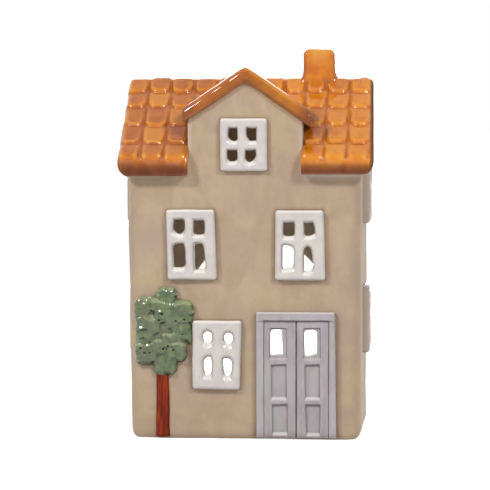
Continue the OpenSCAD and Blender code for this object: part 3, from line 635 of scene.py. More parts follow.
def leaf_material():
    """Grey-green glaze: pale on the bumps, deep green in the dents and dark olive at its foot as painted
    shade with pooled glaze, and a painted highlight on faces that look up.
    """
    n = Nodes("leaf_glaze")
    cloud = n.noise(4.0, 3.0, EVEN, 0.6, 0.5)
    n.ground(cloud, 0.36, 0.66, "4E6040", "6C7A52")
    n.over("64624C", 0.55, (9.0, 2.0), 0.45, 0.62)
    n.over("8E9672", 0.55, "ridge", 0.1, 0.9)
    n.over("323A20", 0.85, "pool", 0.05, 0.7)
    # Painted shade at the foot
    n.over("42401F", 0.7, "foot", 0.1, 1.0)
    # Painted highlight on faces that look up
    n.over("B4B98E", 0.5, "light")
    n.bump(n.noise(1.2, 2.0), 0.1, 0.45)
    return n.glazed(n.span(cloud, 0.3, 0.7, 0.12, 0.22), 0.4, 0.04, 0.35)


def metal_material(name, light, dark, grain, rough):
    """Thin rolled metal with a fine grain."""
    n = Nodes(name)
    brushed = n.noise(grain, 3.0, (1.0, 1.0, 6.0), 0.6)
    n.ground(brushed, 0.35, 0.65, dark, light)
    n.bump(brushed, 0.02, 0.4)
    return n.finish(n.span(n.noise(3.0, 2.0), 0.3, 0.7, *rough), Metallic=1.0)


def wax_material():
    """White paraffin with a faint mottle."""
    n = Nodes("wax")
    n.ground(n.noise(2.4, 4.0, EVEN, 0.6), 0.35, 0.68, "E4DFD2", "EFEBE0")
    n.bump(n.noise(1.6, 3.0), 0.05, 0.4)
    rough = n.span(n.noise(5.0, 2.0), 0.3, 0.7, 0.32, 0.48)
    return n.finish(rough, Subsurface_Weight=0.25, Subsurface_Scale=0.002)


def wick_material():
    """Waxed cotton twisted from three plies."""
    n = Nodes("wick_cotton")
    fibre = n.noise(0.25, 3.0, (1.0, 1.0, 4.0), 0.6)
    n.ground(fibre, 0.35, 0.65, "CFC6AE", "EFE9D8")
    n.bump(fibre, 0.08, 0.6)
    return n.finish(n.span(fibre, 0.3, 0.7, 0.7, 0.9), Sheen_Weight=0.2)


CLAY, BISQUE, ROOF, WHITE = clay_material(), bisque_material(), roof_material(), white_material()
GREY, BARK, LEAF = grey_material(), bark_material(), leaf_material()
CUP = metal_material("cup_metal", "DCDCDE", "C6C6CA", 1.2, (0.2, 0.34))
CLIP = metal_material("clip_metal", "B9B9BC", "9C9CA0", 0.8, (0.28, 0.42))
WAX, WICK = wax_material(), wick_material()


# Tiles: a relief over a slope, kept as a grid of heights

def blurred(grid, size):
    """A grid smoothed by a bell curve that is size cells wide."""
    reach = max(1, int(3 * size))
    weights = np.exp(-0.5 * (np.arange(-reach, reach + 1) / size) ** 2)
    weights /= weights.sum()
    for axis in (0, 1):
        pads = [(0, 0), (0, 0)]
        pads[axis] = (reach, reach)
        wide = np.pad(grid, pads, mode="edge")
        total = 0.0
        for k, weight in enumerate(weights):
            part = [slice(None), slice(None)]
            part[axis] = slice(k, k + grid.shape[axis])
            total = total + weight * wide[tuple(part)]
        grid = total
    return grid


class Relief:
    """Heights of tiles over a slope, u along the ridge and v down the slope."""

    def __init__(self, columns, rows, seed, tail, head, groove, stray, cap):
        rng = np.random.default_rng(seed)
        self.low = (columns[0] - 3.0, rows[0] - 3.0)
        u = np.arange(self.low[0], columns[-1] + 3.0, RELIEF_STEP)
        v = np.arange(self.low[1], rows[-1] + 5.0, RELIEF_STEP)
        uu, vv = np.meshgrid(u, v, indexing="ij")
        grid = cap * unit(1.0 - vv / 4.0)
        tint = np.full(grid.shape, 0.5)
        for j in range(len(rows) - 1):
            drift = rng.uniform(-0.3, 0.3)
            for i in range(len(columns) - 1):
                left, right = columns[i] + groove / 2 + drift, columns[i + 1] - groove / 2 + drift
                top, low = rows[j], rows[j + 1]
                left += rng.uniform(-0.35, 0.35)
                right += rng.uniform(-0.35, 0.35)
                low += rng.uniform(-stray, stray) * (1.0 if j < len(rows) - 2 else 0.5)
                lean, slant = rng.uniform(-0.5, 0.5), rng.uniform(-0.4, 0.4)
                bulge, tall, shade = rng.uniform(0.5, 1.3), rng.uniform(0.85, 1.12), rng.uniform(0.0, 1.0)
                corner = rng.uniform(2.6, 3.9)
                near = (uu > left - 1.5) & (uu < right + 1.5) & (vv > top - 2.5) & (vv < low + 2.0)
                x, y = uu[near], vv[near]
                run = unit((y - top) / (low - top))
                middle = (left + right) / 2 + slant * (run - 0.5)
                half_w = (right - left) / 2 + 0.3 * (1.0 - run)
                across = (x - middle) / half_w
                deep = low + lean * across - 0.5 * bulge * np.abs(across) ** 3 - y
                out = round_max(np.abs(x - middle) - half_w, -deep, corner)
                roll = unit(-out / TILE_EDGE)
                roll = np.sqrt(1.0 - (1.0 - roll) ** 2)
                first = cap if j == 0 else head
                rise = first + (tail - first) * run ** 0.8
                dome = TILE_CROWN * bulge * (1.0 - np.clip(across, -1, 1) ** 2)
                tile = tall * (rise + dome) * roll
                grid[near] = np.maximum(grid[near], tile)
                tint[near] = np.where((out < 0.0) & (y > top - 0.5), shade, tint[near])
        self.grid = blurred(grid, 1.0).astype(np.float32)
        self.tint_grid = blurred(tint, 2.0).astype(np.float32)

    def read(self, g, u, v):
        a = (u - self.low[0]) / RELIEF_STEP
        b = (v - self.low[1]) / RELIEF_STEP
        a = np.clip(a, 0.0, g.shape[0] - 1.001)
        b = np.clip(b, 0.0, g.shape[1] - 1.001)
        i, j = a.astype(int), b.astype(int)
        s, t = a - i, b - j
        return (
            g[i, j] * (1 - s) * (1 - t) + g[i + 1, j] * s * (1 - t)
            + g[i, j + 1] * (1 - s) * t + g[i + 1, j + 1] * s * t
        )

    def __call__(self, u, v):
        return self.read(self.grid, u, v)

    def tint(self, u, v):
        """A shade from 0 to 1 for each tile."""
        return self.read(self.tint_grid, u, v)


MAIN_SIZES = {"tail": 1.85, "head": 0.4, "groove": 1.0, "stray": 0.5, "cap": 1.3}
DORMER_SIZES = {"tail": 1.25, "head": 0.2, "groove": 1.5, "stray": 0.3, "cap": 0.9}
FRONT_TILES = Relief(TILE_COLUMNS, TILE_ROWS, seed=3, **MAIN_SIZES)
BACK_TILES = Relief(TILE_COLUMNS, TILE_ROWS, seed=4, **MAIN_SIZES)
LEFT_TILES = Relief(DORMER_COLUMNS, DORMER_LEFT_ROWS, seed=5, **DORMER_SIZES)
RIGHT_TILES = Relief(DORMER_COLUMNS, DORMER_RIGHT_ROWS, seed=6, **DORMER_SIZES)


# The roofs and the chimney

def along_and_out(fold, up, pitch):
    cos, sin = math.cos(pitch), math.sin(pitch)
    return fold * cos - up * sin, fold * sin + up * cos


def slope_of(y, z):
    """Along the main slope from the ridge, and out of it from the slab's middle."""
    return along_and_out(soft_abs(y, RIDGE_SOFT), z - RIDGE_MID, ROOF_PITCH)


def dormer_slope_of(x, y, z):
    """The same for the dormer's slopes, which sink a little towards the back."""
    up = z - DORMER_MID + DORMER_FALL * np.maximum(y + HALF_D, 0.0)
    return along_and_out(soft_abs(x, RIDGE_SOFT), up, DORMER_PITCH)


def dormer_space(x, y, z):
    """Distance to the room that the dormer takes in the main roof."""
    out = dormer_slope_of(x, y, z)[1]
    return np.maximum(np.maximum(np.abs(x) - DORMER_HALF_W + 0.5, out), y + 0.3)


def roof_right(y):
    """Where the roof ends on the right: its end runs inwards to the back."""
    return ROOF_RIGHT - RIGHT_TAPER * unit((y + ROOF_D / 2) / ROOF_D)


def main_roof(x, y, z):
    along, out = slope_of(y, z)
    near = np.abs(y)
    v = along + ROOF_LAP
    height = np.where(y < 0.0, FRONT_TILES(x, v), BACK_TILES(x, v)) * unit(out / 1.5 + 0.2)
    slab = np.abs(out) - ROOF_T / 2
    block = np.maximum(EAVE_OUT - 5.6 - near, out - ROOF_T / 2)
    wave = 0.14 * noise(x, y, z, 14.0) + 0.06 * noise(x, y, z, 5.0)
    d = soft_min(slab, block, 1.2) - height - wave
    d = round_max(d, near - EAVE_OUT - 0.2 * height - 0.5 * wave, 1.3)
    low = EAVE_LOW - unit(-x / 40.0) - z + 0.5 * wave
    d = round_max(d, low, 1.0)
    left = ROOF_LEFT + 0.3 * unit(1.0 - near / 40.0) - x
    right = x - roof_right(y)
    end = np.maximum(left, right) + 0.15 * noise(x, y, z, 9.0, 3.0) + 0.1 * noise(x, y, z, 3.0, 8.0)
    d = round_max(d, end, 2.2)
    d = soft_max(d, np.maximum(corner_round(left, low, 6.4), corner_round(right, low, 5.4)), 0.5)
    inner = corner_round(DORMER_HALF_W - 0.5 - np.abs(x), low, 1.6) - 40.0 * unit((z - 122.0) / 10.0)
    d = soft_max(d, np.where(y < 0.0, inner, NO_LIMIT), 0.4)
    return soft_max(d, -dormer_space(x, y, z), 0.8)


def dormer_roof(x, y, z):
    along, out = dormer_slope_of(x, y, z)
    right = unit(x / 8.0 + 0.5)
    thin = 0.5 * unit((-x - 15.0) / 12.0)
    sag = 0.3 * np.exp(-((x + 9.5) / 5.0) ** 2) - 0.45 * np.exp(-((x - 6.0) / 3.5) ** 2)
    low = -DORMER_T / 2 - 0.35 * right + thin - sag
    v = along + DORMER_LAP
    height = np.where(x < 0.0, LEFT_TILES(y, v), RIGHT_TILES(y, v)) * unit(out / 1.2 + 0.2)
    behind = unit((y + 35.0) / 2.5)
    height = behind * height + (1.0 - behind) * 1.15
    wave = 0.2 * noise(x, y, z, 8.0, 7.0) + 0.08 * noise(x, y, z, 3.5)
    top = out - DORMER_T / 2 - height - wave
    under = np.where(y > -14.0, NO_LIMIT, low - out)
    front = -(y + HALF_D + DORMER_LIP - 0.25 + 0.3 * noise(x, y, z, 7.0, 1.0))
    d = round_max(round_max(top, front, 3.0), under, 1.0)
    tip = np.maximum(x - TIP_RIGHT, TIP_LEFT - x) - 0.12 * (z - 141.0)
    d = round_max(d, tip, 1.1)
    hip = (z - RIDGE_OUT - 2.6 + 1.5 * (y + 1.4)) / 1.8
    d = soft_max(d, hip, 1.5)
    above = -(slope_of(y, z)[1] + ROOF_T / 2 - 0.5)
    return np.maximum(d, np.where(y < -HALF_D + 3.0, NO_LIMIT, above))


def chimney(x, y, z):
    a, b = x - CHIMNEY_X, y - CHIMNEY_Y
    bend = 0.25 * noise(x, y, z, 9.0, 2.0)
    d = rect(a, b, CHIMNEY_W / 2 - 0.1 + bend * 0.5, CHIMNEY_D / 2, CHIMNEY_R)
    d = round_max(d, z - CHIMNEY_TOP - 0.3 * noise(x, y, z, 7.0, 5.0), 2.8)
    out = slope_of(y, z)[1]
    d = soft_min(d, out - ROOF_T / 2 - 0.2, 5.0)
    d = soft_max(d, rect(a, b - 1.2, CHIMNEY_W / 2 + 5.0, CHIMNEY_D / 2 + 1.6, 2.5), 1.0)
    return np.maximum(d, -(out + 0.6)) - 0.08 * noise(x, y, z, 3.0)


# The walls, with a hole behind every pane

HOLES = [(wall, middle, panes) for _, wall, middle, _, panes, _, _ in WINDOWS]
HOLES.append(("front", DOOR_FOOT, LEAF_PANES))


def wall_lean(z):
    """How far the left wall leans out at a height."""
    return 0.25 + 1.5 * np.clip(z / EAVE_H, 0.0, 1.1) ** 1.4


def walls(x, y, z):
    wave = 0.25 * noise(x, y, z, 22.0, 4.0) + 0.12 * noise(x, y, z, 7.0, 6.0)
    taper = -0.3 * unit((y + HALF_D) / BODY_D)
    pull = (wall_lean(z) - taper) / 2
    outside = rect(x + pull + taper, y, HALF_W - 0.25 + pull, HALF_D - 0.25, CORNER_R + 1.5) + wave
    outside = round_max(outside, -z, 0.9)
    rounding = beyond(np.abs(x) - (HALF_W - FOOT_R), FOOT_R - z) - FOOT_R
    outside = soft_max(outside, np.where(z < FOOT_R, rounding, NO_LIMIT) + wave, 0.6)
    under_roof = slope_of(y, z)[1] + 0.4
    gable = np.maximum(outside, dormer_slope_of(x, y, z)[1] + 0.4)
    gable = np.maximum(gable, np.maximum(np.abs(x) - DORMER_HALF_W, y))
    d = np.minimum(np.maximum(outside, under_roof), np.maximum(gable, EAVE_H - z))
    inside = rect(x, y, HALF_W - WALL_T, HALF_D - WALL_T, CORNER_R - WALL_T + 1.5)
    inside = np.maximum(inside, FLOOR_Z - 1.0 - z)
    narrow = np.maximum(inside, np.maximum(np.abs(x) - DORMER_HALF_W + WALL_T, y))
    inside = np.minimum(np.maximum(inside, under_roof), np.maximum(narrow, EAVE_H - z))
    d = soft_max(d, -inside, 0.5)
    arch = np.hypot(x, np.maximum(z - ARCH_SPRING, 0.0)) - ARCH_W / 2 + 0.3 * noise(x, y, z, 12.0, 8.0)
    arch = np.maximum(np.maximum(arch, FLOOR_Z - z), HALF_D - WALL_T - 2.0 - y)
    d = soft_max(d, -arch, 1.6)
    across = {"front": x, "right": y, "left": -y}
    depth = {
        "front": np.abs(y + HALF_D) - WALL_T - 3.0,
        "right": -(x - HALF_W + WALL_T + 3.0),
        "left": -(-x - HALF_W + WALL_T + 3.0),
    }
    for wall, middle, panes in HOLES:
        for pane in panes:
            hole = outline(across[wall] - middle[0], z - middle[1], pane, EVEN, 0.3)
            d = np.maximum(d, -np.maximum(hole, depth[wall]))
    return d


# Values at the vertices, for the glazes and for painted light and shade

def shades(verts, quads, rounds, size):
    """Where glaze pools, darkened also as painted shade in hollows, and where it thins out."""
    depth = hollow(verts, quads, rounds)
    return {"pool": unit(depth / size), "ridge": unit(-depth / size)}


def closer(now, where, d):
    """The smaller of two distances, taken only where it counts."""
    return np.where(where, np.minimum(now, np.abs(d)), now)


def wall_values(verts, quads):
    """Painted shade with pooled glaze round what is luted on and towards the floor, paler glaze where it
    is thin, pale lines beside the side windows, at the dormer's cheeks and under the right eave, and bare
    clay inside, made paler to stand in for light.
    """
    x, y, z = verts.T
    front = y < -HALF_D + 3.0
    side = np.abs(x) > HALF_W - 3.0
    outer = front | side | (y > HALF_D - 1.0)
    across = {"front": x, "right": y, "left": -y}
    on = {"front": front, "right": side & (x > 0.0), "left": side & (x < 0.0)}
    near = {wall: np.full(len(verts), FAR) for wall in on}
    for _, wall, middle, edge, _, _, _ in WINDOWS:
        gap = outline(across[wall] - middle[0], z - middle[1], edge)
        near[wall] = closer(near[wall], on[wall], gap)
    door = rect(x - DOOR_FOOT[0], z - DOOR_H / 2, DOOR_W / 2, DOOR_H / 2, 1.0)
    nearest = closer(near["front"], front, door)
    nearest = closer(nearest, front & (z > 136.0), dormer_slope_of(x, y, z)[1] + DORMER_T / 2)
    cheek = np.where(front & (z > EAVE_H - 2.0), np.abs(np.abs(x) - DORMER_HALF_W + 0.4), FAR)
    # A pale line on the wall just under the right eave
    eave = np.exp(-np.abs(z - EAVE_LOW + 0.2) / 0.7) * (y < -HALF_D + 4.0) * (x > DORMER_HALF_W + 0.5)
    beside = np.exp(-np.minimum(near["right"], near["left"]) / 0.9)
    values = shades(verts, quads, 8, 0.5)
    # Painted shade: the walls darken towards the floor
    painted_foot_shade = 1.3 * np.exp(-z / 1.9) * outer
    # Painted shade with pooled glaze: a dark line round the windows, the door and under the dormer's trim
    values["pool"] = unit(values["pool"] * 0.25 + 0.8 * np.exp(-nearest / 0.8) + painted_foot_shade)
    # Pale lines: white glaze spilled beside the side windows, thin glaze at the dormer's cheeks, and the
    # line under the right eave
    values["spill"] = np.maximum(np.maximum(beside, 0.7 * np.exp(-cheek / 0.5)), eave)
    # Bare clay inside, painted paler to stand in for light that hardly reaches there
    deep = np.minimum(HALF_W - 2.2 - np.abs(x), HALF_D - 2.2 - np.abs(y))
    values["inside"] = unit(deep / 0.8) * (z > 2.0)
    return values


def roof_values(verts, quads):
    """Tints of the tiles; the dark eave and the dark round the dormer, as painted shade with runs of
    glaze; dark matt ends and crest, the ends as painted shade; bare clay underneath, darkened as painted
    shade.
    """
    x, y, z = verts.T
    along, out = slope_of(y, z)
    v = along + ROOF_LAP
    values = shades(verts, quads, 10, 0.3)
    values["tint"] = np.where(y < 0.0, FRONT_TILES.tint(x, v), BACK_TILES.tint(x, v))
    # Painted shade with pooled glaze: the fascia is dark, darker low down, as it faces away from the light
    values["fascia"] = unit((121.2 - z) / 1.8) * unit((np.abs(y) - NOSE_Y + 1.0) / 1.5)
    values["fascia"] *= 0.6 + 0.4 * unit((120.0 - z) / 3.0)
    downward = -normals_of(verts, quads)[:, 2]
    within = unit(rect(x, y, HALF_W - 1.0, HALF_D - 1.0, 1.0) / -1.0)
    # The underside is bare clay, darkened as painted shade
    under = within * unit((-ROOF_T / 2 + 0.8 - out) / 0.5)
    values["bare"] = np.maximum(unit((downward - 0.7) / 0.2) * (z < EAVE_LOW + 1.5), 0.6 * under)
    # Painted shade with pooled glaze: darker tiles beside the dormer's cheeks under its trim, and round
    # its tips
    corner = np.exp(-np.maximum(np.abs(x) - DORMER_HALF_W, 0.0) / 5.0) * unit((138.0 - z) / 3.0)
    corner *= unit((z - 123.5) / 3.0) * (y < -20.0)
    tips = np.where(x < 0.0, TIP_LEFT - x, x - TIP_RIGHT) + 0.6
    tips = np.exp(-np.abs(tips) / 2.2) * unit((144.5 - z) / 3.0) * unit((z - 136.0) / 2.0)
    values["drip"] = np.maximum(corner, 1.35 * tips * (y < -16.0))
    # Painted shade: the roof's ends are dark and matt; the crest is dark and matt where its glaze is thin
    ends = np.maximum(x - roof_right(y) + 1.7, ROOF_LEFT - x + 1.0)
    crest = 0.45 * unit((y + 0.8) / 0.8) * unit((z - RIDGE_OUT + 1.2) / 0.8)
    values["dry"] = np.maximum(np.maximum(unit(ends / 0.7), crest), under)
    return values


def dormer_values(verts, quads):
    """Tints of the tiles; the front darker to its lower edge and dark tips, as painted shade with pooled
    glaze; a dark matt underside of bare clay, darkened as painted shade.
    """
    x, y, z = verts.T
    along, out = dormer_slope_of(x, y, z)
    v = along + DORMER_LAP
    values = shades(verts, quads, 12, 0.3)
    values["tint"] = np.where(x < 0.0, LEFT_TILES.tint(y, v), RIGHT_TILES.tint(y, v))
    # Painted shade with pooled glaze: the front darkens towards its lower edge, and more on the right
    lower = 0.35 + 0.15 * (x > 0.0) + 0.45 * unit((-0.5 - out) / 1.5)
    values["fascia"] = unit((-36.8 - y) / 0.8) * lower
    # A dark matt underside of bare clay, darkened as painted shade
    values["dry"] = unit((-DORMER_T / 2 + 0.8 - out) / 0.5) * (y > -HALF_D + WALL_T - 1.0)
    values["bare"] = 0.6 * values["dry"]
    # Painted shade with pooled glaze: darker towards the tips
    values["drip"] = 1.35 * unit((np.abs(x) - 21.0) / 6.0)
    return values


def chimney_values(verts, quads):
    """Dark edges and foot as painted shade, with glaze pooled at the foot, and a painted paler middle."""
    x, y, z = verts.T
    a, b = np.abs(x - CHIMNEY_X) - CHIMNEY_W / 2, np.abs(y - CHIMNEY_Y) - CHIMNEY_D / 2
    inward = np.minimum(a, b)
    foot = unit((RIDGE_OUT + 2.5 + 1.5 * noise(x, y, z, 4.0, 6.0) - z) / 3.0)
    values = shades(verts, quads, 14, 0.35)
    values["tint"] = np.full(len(z), 0.5)
    # Painted shade on the chimney's edges and foot, with glaze pooled at the foot
    values["drip"] = np.maximum(0.75 * unit((inward + 2.2) / 1.8), 0.7 * foot)
    # Painted light: a paler middle on the chimney's front, higher up
    values["glow"] = unit((-2.2 - inward) / 3.0) * unit((z - RIDGE_OUT - 6.0) / 5.0)
    return values


# Each large piece: name, node, finish, field, values, the box that it is carved in, and mesh step
LARGE_PIECES = (
    ("walls", "house_walls", CLAY, walls, wall_values,
     (-52.9, -36.1, 0.0), (51.4, 36.1, 158.0), 1.0),
    ("roof_tiles", "main_roof", ROOF, main_roof, roof_values,
     (-56.0, -42.3, 113.4), (56.3, 42.3, 159.5), 0.62),
    ("dormer_tiles", "dormer_roof", ROOF, dormer_roof, dormer_values,
     (-29.5, -38.8, 134.0), (31.5, 6.0, 163.0), 0.42),
    ("chimney_block", "chimney", ROOF, chimney, chimney_values,
     (17.0, -7.0, 143.0), (43.5, 13.5, 171.0), 0.45),
)


def make_large_pieces():
    for name, node, finish, field, values_of, low, high, step in LARGE_PIECES:
        verts, quads = carved(field, low, high, step)
        made_piece(name, verts, [quads], finish, "house", node, values_of(verts, quads))


# Pieces that are set on a wall: a is across it, b up it and c out of it

WALL_PLACES = {
    "front": lambda m, a, b, c: (m[0] + a, -HALF_D - c, m[1] + b),
    "right": lambda m, a, b, c: (HALF_W + 0.1 + c, m[0] + a, m[1] + b),
    "left": lambda m, a, b, c: (-HALF_W - wall_lean(m[1]) - c, m[0] - a, m[1] + b),
}


def pane_depth(c):
    """0 in the pane's straight hole, rising to 1 at the window's face."""
    return unit((c - WINDOW_T + PANE_SINK) / PANE_SINK) ** 1.2


def window_field(edge, panes, spread, shift):
    """A function of places on a wall (across, up, out) for one window."""

    def field(a, b, c):
        a2 = a + 0.18 * line_noise(b, 9.0, shift)
        b2 = b + 0.18 * line_noise(a, 8.0, shift + 3.0)
        d = outline(a2, b2, edge, EVEN, -0.05, 1.6)
        d = round_max(d, c - WINDOW_T + 0.15 + 0.2 * face_noise(a, b, 8.0, shift + 5.0), WINDOW_EDGE_R)
        wobble = 0.1 * face_noise(a, b, 3.0, shift + 9.0)
        for pane in panes:
            d = soft_max(d, -outline(a, b, pane, spread, pane_depth(c)) - wobble, 0.7)
        return d

    return field


def rim_of(verts, panes):
    """1 on the inner rims of holes, where thin glaze shows the clay and painted shade darkens them."""
    a, b, c = verts.T
    nearest = np.full(len(verts), FAR)
    for pane in panes:
        nearest = np.minimum(nearest, np.abs(outline(a, b, pane)))
    return unit(1.35 - nearest / 0.42) * unit((WINDOW_T - PANE_SINK + 0.9 - c) / 0.6)


def luted(name, wall, middle, field, low, high, step, finish, rounds, size,
          panes=(), reach=0.7, hold=1.0, tint=0.0):
    """A piece carved in its wall's own coordinates and set in its place.

    The shade at its foot starts at hold and fades outwards over reach millimetres.
    """

    def closed(a, b, c):
        return np.maximum(field(a, b, c), BACK_C - c)

    verts, quads = carved(closed, (*low, BACK_C - 0.1), high, step)
    values = shades(verts, quads, rounds, size)
    # Painted shade where the piece meets the wall, with thin glaze showing clay
    values["foot"] = unit(hold - verts[:, 2] / reach)
    upward = normals_of(verts, quads)[:, 1]
    proud = unit(verts[:, 2] / 0.6)
    # Painted highlight: faces that look upwards are lighter
    values["light"] = unit((upward - 0.3) / 0.35) * proud
    # Painted shade: faces that look downwards are darker
    values["pool"] = np.maximum(values["pool"], 0.8 * unit((-0.3 - upward) / 0.35) * proud)
    # Painted shade, with clay under thin glaze, on the holes' inner rims
    values["rim"] = rim_of(verts, panes)
    values["tint"] = np.full(len(verts), tint)
    verts = np.stack(WALL_PLACES[wall](middle, *verts.T), 1)
    # Painted shade near the floor, darkest at the bottom
    values["pool"] = np.maximum(values["pool"], 1.1 * np.exp(-verts[:, 2] / 2.2))
    made_piece(name + "_glazed", verts, [quads], finish, "house", name, values)


def make_windows():
    for name, wall, middle, edge, panes, spread, shift in WINDOWS:
        half_w, half_h = (max(abs(corner[i]) for corner in edge) + 0.35 for i in (0, 1))
        soft = {} if wall == "front" else {"reach": 2.2, "hold": 2.2}
        luted(
            name, wall, middle, window_field(edge, panes, spread, shift),
            (-half_w, -half_h), (half_w, half_h, WINDOW_T + 0.15), 0.32, WHITE, 8, 0.35, panes, **soft,
        )


def door_frame(a, b, c):
    lean = 0.12 * face_noise(a, b, 16.0, 2.0)
    slant = 0.8 * unit(a / 17.0) * unit(b / DOOR_H)
    outer = rect(a + lean + slant, b - DOOR_H / 2, DOOR_W / 2 - 0.05, DOOR_H / 2, 0.8)
    opening = np.maximum(np.abs(a + lean) - (DOOR_W / 2 - JAMB_W), b - LEAF_H)
    lintel = unit((b - LEAF_H + 0.4) / 0.8)
    face = c - FRAME_T - 0.3 * lintel + 0.2 * (1.0 - lintel) + 0.12 * face_noise(a, b, 7.0, 5.0)
    return soft_max(round_max(outer, face, 1.0), -opening, 1.1)


def leaf_field(k):
    """The left leaf (k = 0) or the right one (k = 1)."""
    middle = (2 * k - 1) * (LEAF_W + LEAF_GAP) / 2

    def field(a, b, c):
        wide = 0.28 * unit((LEAF_T - 0.6 - c) / 0.4)
        d = rect(a - middle, b - LEAF_H / 2, LEAF_W / 2 - 0.02 + wide, LEAF_H / 2 - 0.05, 0.5)
        d = round_max(d, c - LEAF_T + 0.1 * face_noise(a, b, 6.0, 1.0 + k), 0.5)
        sink = unit((c - LEAF_T + PANEL_SINK) / PANEL_SINK)
        for panel in LEAF_PANELS[k]:
            sunk = soft_max(outline(a, b, panel, (0.2, 1.2, 1.6), sink), LEAF_T - PANEL_SINK - c, 0.25)
            d = soft_max(d, -sunk, 0.35)
        shallow = unit((c - LEAF_T + BAY_SINK) / BAY_SINK)
        bay = soft_max(outline(a, b, LEAF_BAYS[k], (0.1, 0.5, 1.6), shallow), LEAF_T - BAY_SINK - c, 0.2)
        d = soft_max(d, -bay, 0.3)
        pane = outline(a, b, LEAF_PANES[k], LEAF_SPREAD, sink)
        return soft_max(d, -pane - 0.08 * face_noise(a, b, 3.0, 4.0), 0.3)

    return field


def make_door():
    luted(
        "door_frame", "front", DOOR_FOOT, door_frame,
        (-17.6, 0.0), (17.6, DOOR_H + 0.1, FRAME_T + 0.4), 0.32, GREY, 8, 0.3, tint=1.0,
    )
    for k, name in enumerate(("door_leaf_left", "door_leaf_right")):
        near, far = sorted(((2 * k - 1) * LEAF_GAP / 2, (2 * k - 1) * (LEAF_GAP / 2 + LEAF_W)))
        luted(
            name, "front", DOOR_FOOT, leaf_field(k),
            (near - 0.3, 0.0), (far + 0.3, LEAF_H, LEAF_T + 0.15), 0.26, GREY, 8, 0.25,
        )


def crown(a, b, c):
    d = np.full(np.broadcast(a, b, c).shape, 9.0)
    up = np.maximum(c, 0.0)
    power = 2.7
    for x, y, half_w, half_h, t in LOBES:
        norm = (np.abs(a - x) / half_w) ** power + (np.abs(b - y) / half_h) ** power + (up / t) ** power
        d = soft_min(d, (norm ** (1.0 / power) - 1.0) * 0.5 * (half_w + t), 0.8)
    high = unit(c / 1.2)
    ridged = 1.0 - 2.6 * np.abs(noise(a, b, c * 0.3, 3.6, 1.0))
    d = d - 0.42 * ridged * high + 0.36 * noise(a, b, c * 0.5, 1.8, 2.0) * (0.3 + 0.7 * high)
    for x, y, r in PITS:
        d = soft_max(d, -np.maximum(np.hypot(a - x, b - y) - r, 1.7 - c), 0.4)
    return d


def trunk(a, b, c):
    share = unit(b / 32.0)
    r = TRUNK_R - 0.02 - 0.48 * share + 0.15 * unit(1.0 - b / 4.0)
    groove = 0.1 * noise(a, b * 0.13, c, 1.3, 3.0) + 0.12 * noise(a, b * 0.4, c, 2.4, 5.0)
    sway = 0.4 + 0.3 * share + 0.12 * line_noise(b, 9.0, 1.0)
    d = np.hypot(a + sway, (c + TRUNK_SINK) * 1.05) - r + groove
    return soft_max(d, -b, 0.8)


def make_tree():
    luted(
        "tree_crown", "front", (TREE_X, CROWN_Z), crown,
        (-14.0, -0.5), (14.0, CROWN_H + 0.8, CROWN_T + 0.3), 0.27, LEAF, 7, 0.22, reach=1.0,
    )
    luted(
        "tree_trunk", "front", (TREE_X, FOOT_EDGE_R), trunk,
        (-4.1, 0.0), (3.4, 31.0, 2.6), 0.25, BARK, 6, 0.15,
    )


# The tealight: turned forms, so they are made ring by ring

def lathe(profile, wave, n=TURNS):
    """Vertices and faces of a form turned from (radius, height) points that start and end on the axis."""
    angles = np.arange(n) * (2 * math.pi / n)
    rings = []
    for r, z in profile[1:-1]:
        radius = r + wave(angles, r, z)
        rings.append(np.stack([radius * np.cos(angles), radius * np.sin(angles), np.full(n, float(z))], 1))
    ends = np.array([(0.0, 0.0, profile[0][1]), (0.0, 0.0, profile[-1][1])])
    verts = np.concatenate(rings + [ends])
    here = np.arange(n)
    after = (here + 1) % n
    quads = [
        np.stack([k * n + here, k * n + after, (k + 1) * n + after, (k + 1) * n + here], 1)
        for k in range(len(rings) - 1)
    ]
    first, last = len(rings) * n, len(rings) * n + 1
    low = np.stack([after, here, np.full(n, first)], 1)
    top = (len(rings) - 1) * n
    high = np.stack([top + here, top + after, np.full(n, last)], 1)
    return verts, [np.concatenate(quads), np.concatenate([low, high])]


def curve_points(start, end, n, bulge=0.0):
    """Points from start to end, bowed outwards by a length."""
    points = []
    for i in range(1, n + 1):
        t = i / n
        r = start[0] + (end[0] - start[0]) * t
        z = start[1] + (end[1] - start[1]) * t + bulge * math.sin(math.pi * t)
        points.append((r, z))
    return points


def turned_size(node):
    """Foot, top and radius of a turned node in millimetres."""
    low, high = ([v / MM for v in corner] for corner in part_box(node))
    return low[2], high[2], high[0]


